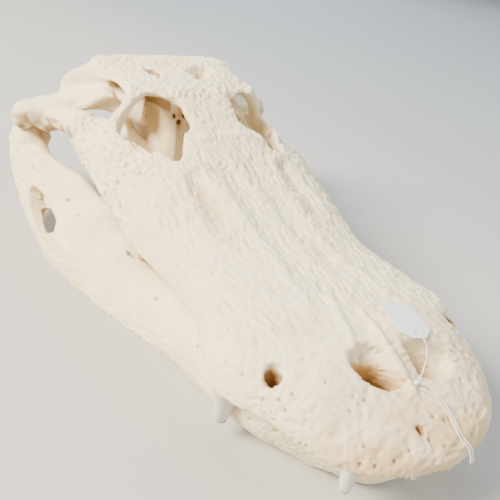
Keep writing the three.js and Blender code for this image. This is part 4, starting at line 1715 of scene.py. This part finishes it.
        # painted shade inside the pits at the snout's sides
        for s in (-1, 1):
            pit = 1 - smooth_step(6.5, 8.5, np.hypot(x - s * 79, y - 97))
            skin.mark("ochre", pit * (1 - smooth_step(74, 79, z)) * (z > 55))
        # painted shade inside the small hole by the front teeth
        lip = 1 - smooth_step(2.6, 4.0, np.hypot(x + 15, y - 31))
        skin.mark("ochre", lip * (z < 71) * (z > 55))
        # painted shade deep in the nostrils, darker with depth
        inside = (np.hypot(x, (y - 66) * 1.2) < 46) & (z > 52)
        depth = self.face.height(x, y) - z
        skin.mark("tan", inside * smooth_step(8, 14, depth) * 0.8)
        skin.mark("ochre", inside * smooth_step(14, 24, depth) * 0.45)
        skin.mark("tan", skin.ball((-47, 262, 114), (16, 34, 20)) * 0.9)
        damp = skin.ball((-12, 400, 132), (15, 14, 24)) * np.clip(0.55 + 1.2 * Noise(95)(p, 10), 0, 1)
        skin.mark("ochre", damp)
        # painted shade inside the holes in the orbit's back wall
        for centre in self.nerve_holes:
            skin.mark("brown", 1.2 * smooth_step(0.35, 0.8, skin.ball(centre, 6.0)))
            skin.hole(centre, 2.4, 2.2)
        skin.mark("ochre", skin.ball((81, 376, 124), 6))
        skin.mark("brown", 0.8 * skin.ball((-149, 505, 97), (10, 14, 7)))
        # painted shade on the steep walls inside the table's openings
        steep = (1 - smooth_step(0.5, 0.85, skin.normals[:, 2])) * (z > 140) * (z < 173)
        skin.mark("ochre", steep * (np.hypot((x + 28) / 13, (y - 428) / 21) < 1) * 0.8)
        skin.mark("brown", steep * (np.hypot((x - 19) / 13, (y - 444) / 15) < 1) * (z < 163) * 0.7)
        grit = np.clip(Noise(94)(p, 4) * 3, 0, 1)
        skin.mark("brown", grit * skin.ball((-97, 306, 54), (9, 15, 8)))
        # painted shade in the hollows under the quadrates
        hollow = (1 - smooth_step(0.0, 0.4, skin.normals[:, 2])) * (y > 436) * (y < 514) * (z < 116)
        skin.mark("ochre", hollow * (np.abs(x) > 58) * np.clip(0.5 + 1.6 * Noise(92)(p, 9), 0, 0.9))
        stub = skin.ball((-22, 372, 128), (12, 26, 30)) + 0.5 * skin.ball((-34, 400, 118), (16, 14, 22))
        skin.mark("ochre", stub * np.clip(0.35 + 1.2 * Noise(93)(p, 12), 0, 0.8))
        # painted shade, uneven, on the steep walls of the recesses under the table
        recess = (z > 64) & (z < 160) & (y > 330) & (y < 470) & (np.abs(x) < 92)
        wall = 1 - smooth_step(0.1, 0.5, skin.normals[:, 2])
        skin.mark("tan", recess * (0.15 + 0.5 * Noise(91)(p, 20)) * wall)
        # painted shade inside the slots under the table's rims
        ear = skin.ball((66, 438, 155), (24, 32, 11)) + skin.ball((-66, 438, 155), (24, 32, 11))
        skin.mark("ochre", smooth_step(0.25, 0.6, ear) * 0.6 * (skin.normals[:, 2] < 0.8))

    def build(self, layout: Layout, finish: BoneFinish) -> None:
        """Sculpts, roughens and parts the cranium, and dresses its bones."""
        skin = Skin(self.block().surface())
        log.info("cranium surface of %d points", len(skin.form.points))
        self.roughen(skin)
        dress(Parting(layout, self.sutures(), self.names()).bones(skin), finish.material())


def dress(bones: dict[str, bpy.types.Mesh], material: bpy.types.Material) -> None:
    """Puts bones into the scene, each in the place of the frame's bone of its name."""
    for name, mesh in bones.items():
        mesh.materials.append(material)
        piece = new_object(f"{name}_bone", mesh)
        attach(piece, "root")
        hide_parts(name)
        log.info("bone %s of %d faces", name, len(mesh.polygons))


@dataclass
class JawHalf:
    """One half of the lower jaw: a leaning slab of bone with its window and socket."""

    side: Side
    pitch: float
    reach: tuple[float, float] = (26, 590)
    lower: Edge = Edge(
        x=Profile(
            (
                (26, 6), (30, 7), (40, 9), (44, 10), (52, 17), (64, 28), (80, 42), (93, 49), (137, 72),
                (160, 81), (190, 90), (227, 103), (270, 121), (315, 136), (379, 154), (420, 158), (459, 159),
                (500, 158), (524, 155), (560, 147), (590, 138),
            )
        ),
        z=Profile(
            (
                (26, 34), (30, 26), (35, 16), (40, 7), (45, -1), (52, -6), (240, -6), (330, -2), (379, 0),
                (420, 4), (459, 9), (500, 19), (524, 29), (560, 47), (590, 62),
            )
        ),
    )
    upper: Edge = Edge(
        x=Profile(
            (
                (26, 20), (32, 36), (47, 53), (70, 68), (90, 80), (128, 90), (160, 87), (204, 79), (250, 84),
                (290, 91), (323, 100), (350, 108), (378, 114), (417, 121), (447, 130), (480, 138), (500, 142),
                (522, 146), (545, 143), (590, 135),
            )
        ),
        z=Profile(
            (
                (26, 48), (30, 49), (45, 48), (62, 51.4), (78, 52.4), (90, 50.4), (102, 44.4), (112, 41.4),
                (130, 39.6), (165, 41.6), (204, 45.6), (285, 46.4), (305, 53.5), (323, 61), (337, 68),
                (350, 75), (378, 79), (412, 84), (447, 82), (480, 82), (500, 86), (522, 89), (545, 85),
                (590, 75),
            )
        ),
    )
    thickness: Profile = Profile(
        ((26, 12), (60, 26), (250, 27), (330, 23), (450, 19), (500, 27), (530, 30), (590, 14))
    )
    window: tuple[tuple[float, float], ...] = (
        (345, 27), (359, 19), (384, 15), (410, 15), (432, 21), (450, 32), (460, 44), (455, 52), (438, 53),
        (418, 50), (394, 44), (366, 36),
    )
    gap: tuple[tuple[float, float], ...] = ((416, 19), (428, 11), (444, 13), (450, 22), (441, 30), (424, 28))
    foramina: tuple[tuple[float, float, float], ...] = (
        (300, 50, 1.5), (330, 40, 1.2), (392, 64, 1.6), (368, 58, 1.2), (470, 66, 1.4), (250, 36, 1.3),
        (215, 38, 1.2), (185, 34, 1.3), (158, 31, 1.1), (132, 29, 1.2), (108, 30, 1.2), (90, 34, 1.2),
        (74, 36, 1.1), (60, 34, 1.2),
    )

    def outside(self, y: Array, z: Array) -> Array:
        """Gives how far out the jaw's outer face lies at a station and height."""
        low, high = self.lower.z(y), self.upper.z(y)
        share = np.clip((z - low) / (high - low), 0, 1)
        return self.lower.x(y) + (self.upper.x(y) - self.lower.x(y)) * share

    def opening(self, outline: Sequence[tuple[float, float]], outward: float, inward: float) -> Form:
        """Makes an opening in the jaw's slab, to be cut.

        Args:
            outline: Its stations and heights, in order.
            outward: How far it reaches out from the outer face.
            inward: How far it reaches in from the outer face.

        Returns:
            The closed form.
        """
        plan = np.array(outline, float)
        s = self.side.value
        middle = plan.mean(axis=0)

        def place(t: Array, angle: Array) -> Array:
            spot = catmull(plan, angle / (2 * math.pi), closed=True)
            spot = middle + (spot - middle) * (1 + 0.1 * (0.5 - t))[..., None]
            face = self.outside(spot[..., 0], spot[..., 1])
            x = face + outward - (outward + inward) * t
            return np.stack([s * x, spot[..., 0], spot[..., 1]], -1)

        return loft(place, 96, 10)

    def block(self, cranium: Cranium, dentition: Dentition) -> Block:
        """Sculpts the jaw half so that it clears the cranium and its teeth."""
        s = self.side.value
        low, high = sorted((s * 0.0, s * 164.0))
        block = Block((low - 3, 20, -3), (high + 3, 596, 100), self.pitch)
        block.add(band(self.side, self.reach, self.lower, self.upper, self.thickness, 6, steps=150))
        chin = limb(
            [(s * -3, 63, 20), (s * 22, 74, 20), (s * 46, 106, 19)],
            ((0, 19), (1, 18)), ((0, 19), (1, 17)), power=3,
        )
        block.add(chin, 6)
        block.add(lump((s * 135, 517, 82), (20, 18, 13)), 8)
        block.cut(self.opening(self.window, 24, 12), 3)
        block.cut(self.opening(self.gap, -8, 60), 2)
        block.cut(cranium.face.form(0.6))
        for (x, y, z), half in cranium.knuckles:
            block.cut(lump((s * x, y, z), tuple(h + 0.6 for h in half)))
        for tooth in dentition.teeth():
            if tooth.x * s > 0:
                block.cut(tooth.form(cranium.face, 0.6))
        block.keep_above(2, 0.0)
        block.keep_above(0, s * 0.1, s)
        return block

    def sutures(self) -> list[Suture]:
        """Lists the sheets that part the jaw half."""
        rise = 30 / 160
        middle = self.side.value * 140
        return [
            Suture(1, 345, (-200, 0, -10), (200, 0, 120)),
            Suture(2, 56 - 182 * rise, (middle - 60, 340, 0), (middle + 60, 617, 0), rise),
        ]

    def roughen(self, skin: Skin) -> None:
        """Gives the jaw half its relief, stains and painted shade."""
        p = skin.form.points
        y, z = p[:, 1], p[:, 2]
        out = skin.normals[:, 0] * self.side.value
        shell = smooth_step(0.0, 0.5, out)
        behind = shell * smooth_step(440, 480, y) * (1 - smooth_step(60, 74, z))
        under = shell * (1 - smooth_step(12, 34, z))
        under = under * smooth_step(120, 200, y) * (1 - smooth_step(440, 480, y))
        front = shell * (1 - smooth_step(90, 150, y))
        middle = shell * smooth_step(70, 120, y) * (1 - behind)
        seed = 100 + 20 * self.side.value
        # the last number of each carve is how much painted shade its hollows get
        skin.carve(behind, Braid(seed, (4.0, 6.5, 5.5), 1.3, 3.0), 0.5)
        skin.carve(under, Braid(seed + 1, (5.0, 13.0, 4.5), 0.8, 4.0), 0.35)
        skin.carve(front, Braid(seed + 2, (4.0, 5.5, 4.0), 0.8, 3.0), 0.4)
        skin.carve(middle, Strands(seed + 3, (5.0, 30.0, 2.4), 0.35), 0.2)
        skin.carve(shell, Holes(seed + 4, 11.0, 0.11, 1.3, 0.4), 0.7)
        skin.raise_by(0.9 * Noise(seed + 5)(p, 22) + 0.35 * Noise(seed + 6)(p, 8))
        ridge_z = Profile(((330, 30), (400, 62), (450, 70), (520, 74), (580, 60)))(y)
        ridge = shell * smooth_step(340, 400, y) * (1 - smooth_step(0, 6, np.abs(z - ridge_z)))
        skin.raise_by(2.6 * ridge)
        # small holes with painted shade inside
        for at, level, radius in self.foramina:
            reach = float(self.outside(np.array(at), np.array(level)))
            skin.hole((self.side.value * (reach + 4), at, level), radius + 0.6)
        s = self.side.value
        grit = np.clip(Noise(seed + 8)(p, 4) * 3, 0, 1)
        crumbs = skin.ball((s * 141, 452, 38), (16, 12, 12)) + skin.ball((s * 97, 307, 48), (9, 16, 7))
        skin.mark("brown", grit * crumbs)
        # painted shade in the socket under the cranium's knuckles
        socket = skin.ball((s * 124, 500, 88), (24, 26, 12))
        skin.mark("ochre", socket * np.clip(0.5 + 1.5 * Noise(seed + 9)(p, 9), 0, 0.9))
        # painted shade on the inner walls of the window's recess
        recess = skin.ball((s * 142, 440, 32), (16, 36, 24)) * (1 - smooth_step(0.2, 0.7, out))
        skin.mark("ochre", 0.35 * recess)
        # painted shade on the jaw's inner face; the tan clouds over the whole jaw are its own tone
        inner = (1 - smooth_step(-0.2, 0.3, out)) * smooth_step(340, 420, y) * smooth_step(20, 60, z)
        skin.mark("tan", inner * 0.7 + 0.4 * np.clip(Noise(seed + 7)(p, 30), 0, 1))
        skin.keep_above(0.0)

    def build(self, layout: Layout, cranium: Cranium, dentition: Dentition, finish: BoneFinish) -> None:
        """Sculpts, roughens and parts the jaw half, and dresses its bones."""
        skin = Skin(self.block(cranium, dentition).surface())
        self.roughen(skin)
        names = [f"{name}_{self.side.label}" for name in ("dentary", "surangular", "angular")]
        dress(Parting(layout, self.sutures(), names).bones(skin), finish.material())


@dataclass
class Tag:
    """A small paper tag with two clipped corners and a punched hole."""

    width: float = 27
    length: float = 36
    thickness: float = 0.6
    clip: float = 8
    front: tuple[float, float] = (21, 77)
    back: tuple[float, float] = (29, 110)
    front_lift: float = 2.6
    back_lift: float = 1.6
    hole_at: float = 4.5
    hole_radius: float = 1.3

    def build(self, layout: Layout, face: Face, finish: PaperFinish) -> bpy.types.Object:
        """Makes the tag where it lies on the snout.

        Args:
            layout: Where the sculpting frame lies.
            face: The face that it lies on.
            finish: Its card.

        Returns:
            The tag.
        """
        half = self.width / 2
        outline = [
            (-half, self.length), (-half, self.clip), (-half + self.clip, 0), (half - self.clip, 0),
            (half, self.clip), (half, self.length),
        ]
        front = np.array([*self.front, float(face.height(*self.front)) + self.front_lift])
        back = np.array([*self.back, float(face.height(*self.back)) + self.back_lift])
        along = (back - front) / np.linalg.norm(back - front)
        sideways = np.array([along[1], -along[0], -0.12])
        up = np.cross(sideways, along)
        up /= np.linalg.norm(up)
        sideways = np.cross(along, up)
        curve = bpy.data.curves.new("tag", "CURVE")
        curve.dimensions = "2D"
        curve.fill_mode = "BOTH"
        curve.extrude = self.thickness / 2
        ring = [
            (self.hole_radius * math.cos(a), self.hole_at + self.hole_radius * math.sin(a))
            for a in np.linspace(0, 2 * math.pi, 24, endpoint=False)
        ]
        for loop in (outline, ring):
            spline = curve.splines.new("POLY")
            spline.points.add(len(loop) - 1)
            for point, (x, y) in zip(spline.points, loop):
                point.co = (x, y, 0, 1)
            spline.use_cyclic_u = True
        flat = new_object_from_curve(curve)
        mesh = flat.data
        points = mesh_arrays(mesh)[0]
        points = front + points @ np.array([sideways, along, up]) + up * self.thickness / 2
        mesh.vertices.foreach_set("co", layout.metres(points).ravel())
        mesh.update()
        mesh.materials.append(finish.material())
        flat.name = "tag_card"
        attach(flat, "root")
        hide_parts("tag")
        return flat


def new_object_from_curve(curve: bpy.types.Curve) -> bpy.types.Object:
    """Turns curve data into a mesh object and drops the curve."""
    holder = bpy.data.objects.new(curve.name, curve)
    bpy.context.scene.collection.objects.link(holder)
    graph = bpy.context.evaluated_depsgraph_get()
    mesh = bpy.data.meshes.new_from_object(holder.evaluated_get(graph))
    bpy.data.objects.remove(holder)
    return new_object(f"{curve.name}_mesh", mesh)


@dataclass
class Threads:
    """The cotton thread: a lead from the tag's hole to a knot on the bar, and two loose tails."""

    radius: float = 0.55
    twist: float = 1.3
    lead: tuple[Point, ...] = (
        (20.2, 79.2, 98.4), (20.6, 76.4, 97.6), (21.6, 72.6, 94.6), (21, 69, 91.4), (17.5, 64.8, 88.4),
        (12.5, 60.6, 85.6), (7.5, 57.2, 83.6), (3.2, 54.8, 82.9),
    )
    knot: tuple[float, float, float] = (0, 53.5, 1.9)
    knot_half: Point = (2.2, 1.8, 1.5)
    tail_1: tuple[tuple[float, float], ...] = (
        (2.4, 51.6), (7, 49.5), (9.6, 46), (11.2, 40), (12, 34), (12.2, 28), (11.4, 22), (12.6, 17.5),
    )
    tail_1_end: tuple[Point, ...] = ((15, 13.2, 60.6), (17, 10.6, 55), (18.6, 9.4, 49))
    tail_2: tuple[tuple[float, float], ...] = (
        (-0.4, 50.4), (3, 47.4), (6.4, 43.4), (9, 38), (10, 32), (10, 26), (9.2, 20.4), (10.2, 17),
    )
    tail_2_end: tuple[Point, ...] = ((12.4, 13, 60.8), (14, 10.2, 55.6), (14.6, 8.8, 50.5))

    def strand(self, name: str, path: Array, material: bpy.types.Material) -> tuple[bpy.types.Object, Array]:
        """Makes a twisted strand along a path.

        Args:
            name: The strand's name in the frame.
            path: Its route in metres.
            material: Its finish.

        Returns:
            The strand and the points that it follows.
        """
        spots = catmull(path, np.linspace(0, 1, 8 * len(path)))
        length = np.concatenate([[0], np.cumsum(np.linalg.norm(np.diff(spots, axis=0), axis=1))])
        radius = self.radius * MM

        def place(t: Array, angle: Array) -> Array:
            centre = catmull(path, t)
            along = catmull(path, t + 1e-3) - catmull(path, t - 1e-3)
            along /= np.linalg.norm(along, axis=-1, keepdims=True)
            sideways = np.cross(along, [0.3, 0.1, 1.0])
            sideways /= np.linalg.norm(sideways, axis=-1, keepdims=True)
            upward = np.cross(sideways, along)
            turn = angle + t * length[-1] / (self.twist * MM)
            wide = radius * (0.82 + 0.18 * np.abs(np.cos(turn)))
            out = (wide * np.cos(angle))[..., None] * sideways
            return centre + out + (wide * np.sin(angle))[..., None] * upward

        form = loft(place, 14, 30 * len(path))
        mesh = new_mesh(name, form.points, [form.triangles, form.quads])
        smooth(mesh)
        mesh.materials.append(material)
        strand = new_object(f"{name}_strand", mesh)
        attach(strand, "root")
        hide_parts(name)
        return strand, spots

    def build(self, layout: Layout, face: Face, tag: bpy.types.Object, finish: CottonFinish) -> None:
        material = finish.material()
        x, y, lift = self.knot
        centre = (x, y, float(face.height(x, y)) + lift)
        form = lump(centre, self.knot_half)
        knot_mesh = new_mesh("knot", layout.metres(form.points), [form.triangles, form.quads])
        smooth(knot_mesh)
        knot_mesh.materials.append(material)
        knot = new_object("thread_knot_ball", knot_mesh)
        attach(knot, "root")
        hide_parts("thread_knot")
        routes = {"thread_lead": np.array(self.lead)}
        for name, ways, end in (
            ("thread_tail_1", self.tail_1, self.tail_1_end),
            ("thread_tail_2", self.tail_2, self.tail_2_end),
        ):
            lifts = [1.6] + [1.3] * (len(ways) - 1)
            on_face = [(a, b, float(face.height(a, b)) + c) for (a, b), c in zip(ways, lifts)]
            routes[name] = np.array([*on_face, *end])
        for name, route in routes.items():
            strand, spots = self.strand(name, layout.metres(route), material)
            2 * self.radius * MM


@dataclass
class Studio:
    """The camera at the photograph's place, a pale floor and soft light."""

    eye: Point = (-253.39, -111.55, 317.92)
    aim: Point = (695.98, 1283.8, -645.6)
    roll: float = 0.156435
    focal_pixels: float = 570.64
    image_pixels: float = 500.0
    sensor: float = 36.0

    def camera(self, layout: Layout) -> None:
        """Places the camera."""
        eye, aim = (Vector(layout.metres(np.array(p))) for p in (self.eye, self.aim))
        forward = (aim - eye).normalized()
        right = forward.cross(Vector((0, 0, 1))).normalized()
        up = right.cross(forward)
        turned_right = right * math.cos(self.roll) + up * math.sin(self.roll)
        turned_up = up * math.cos(self.roll) - right * math.sin(self.roll)
        data = bpy.data.cameras.new("camera")
        data.sensor_width = self.sensor
        data.lens = self.focal_pixels / self.image_pixels * self.sensor
        data.clip_start = 0.01
        camera = bpy.data.objects.new("camera", data)
        axes = Matrix((turned_right, turned_up, -forward)).transposed()
        camera.matrix_world = Matrix.Translation(eye) @ axes.to_4x4()
        bpy.context.scene.collection.objects.link(camera)
        bpy.context.scene.camera = camera

    def floor(self) -> None:
        """Lays the floor."""
        corners = np.array([(-6, -4, 0), (6, -4, 0), (6, 8, 0), (-6, 8, 0)], float)
        mesh = new_mesh("floor", corners, [np.array([[0, 1, 2, 3]])])
        mesh.materials.append(StageFinish("floor_paint", shade(0.53, 0.515, 0.485)).material())
        new_object("floor", mesh)

    def light(self, name: str, place: Point, aim: Point, size: float, watts: float, colour: Point) -> None:
        """Hangs one soft square light."""
        data = bpy.data.lights.new(name, "AREA")
        data.size = size
        data.energy = watts
        data.color = colour
        lamp = bpy.data.objects.new(name, data)
        turned = (Vector(aim) - Vector(place)).to_track_quat("-Z", "Y").to_matrix().to_4x4()
        lamp.matrix_world = Matrix.Translation(place) @ turned
        bpy.context.scene.collection.objects.link(lamp)

    def build(self, layout: Layout) -> None:
        """Sets up the camera, floor, lights and sky."""
        self.camera(layout)
        self.floor()
        self.light("key", (-2.3, 0.5, 2.0), (0, 0, 0.05), 1.3, 345, (1.0, 0.925, 0.79))
        self.light("fill", (1.6, -1.8, 1.8), (0, 0, 0.05), 1.6, 52, (0.86, 0.92, 1.0))
        self.light("back", (1.8, 3.4, 2.4), (0.6, 2.0, 0), 2.0, 105, (0.80, 0.90, 1.0))
        world = bpy.data.worlds.new("studio_sky")
        world.use_nodes = True
        background = world.node_tree.nodes["Background"]
        background.inputs["Color"].default_value = (0.86, 0.89, 0.93, 1.0)
        background.inputs["Strength"].default_value = 0.55
        bpy.context.scene.world = world


def main() -> None:
    """Builds the skull, its tag and the studio."""
    logging.basicConfig(level=logging.INFO, format="%(message)s")
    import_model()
    layout = Layout(FACE_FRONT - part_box("premaxilla")[0][1] / MM)
    log.info("frame starts %.2f mm ahead of the origin", layout.ahead)
    pitch = FINE_PITCH
    Studio().build(layout)
    cranium = Cranium(pitch)
    dentition = Dentition()
    tag = Tag().build(layout, cranium.face, PaperFinish())
    Threads().build(layout, cranium.face, tag, CottonFinish())
    dentition.build(layout, cranium.face, ToothFinish())
    cranium.build(layout, BoneFinish("bleached_bone"))
    for side in Side:
        JawHalf(side, pitch).build(layout, cranium, dentition, BoneFinish(f"jaw_bone_{side.label}"))


if __name__ == "__main__":
    main()
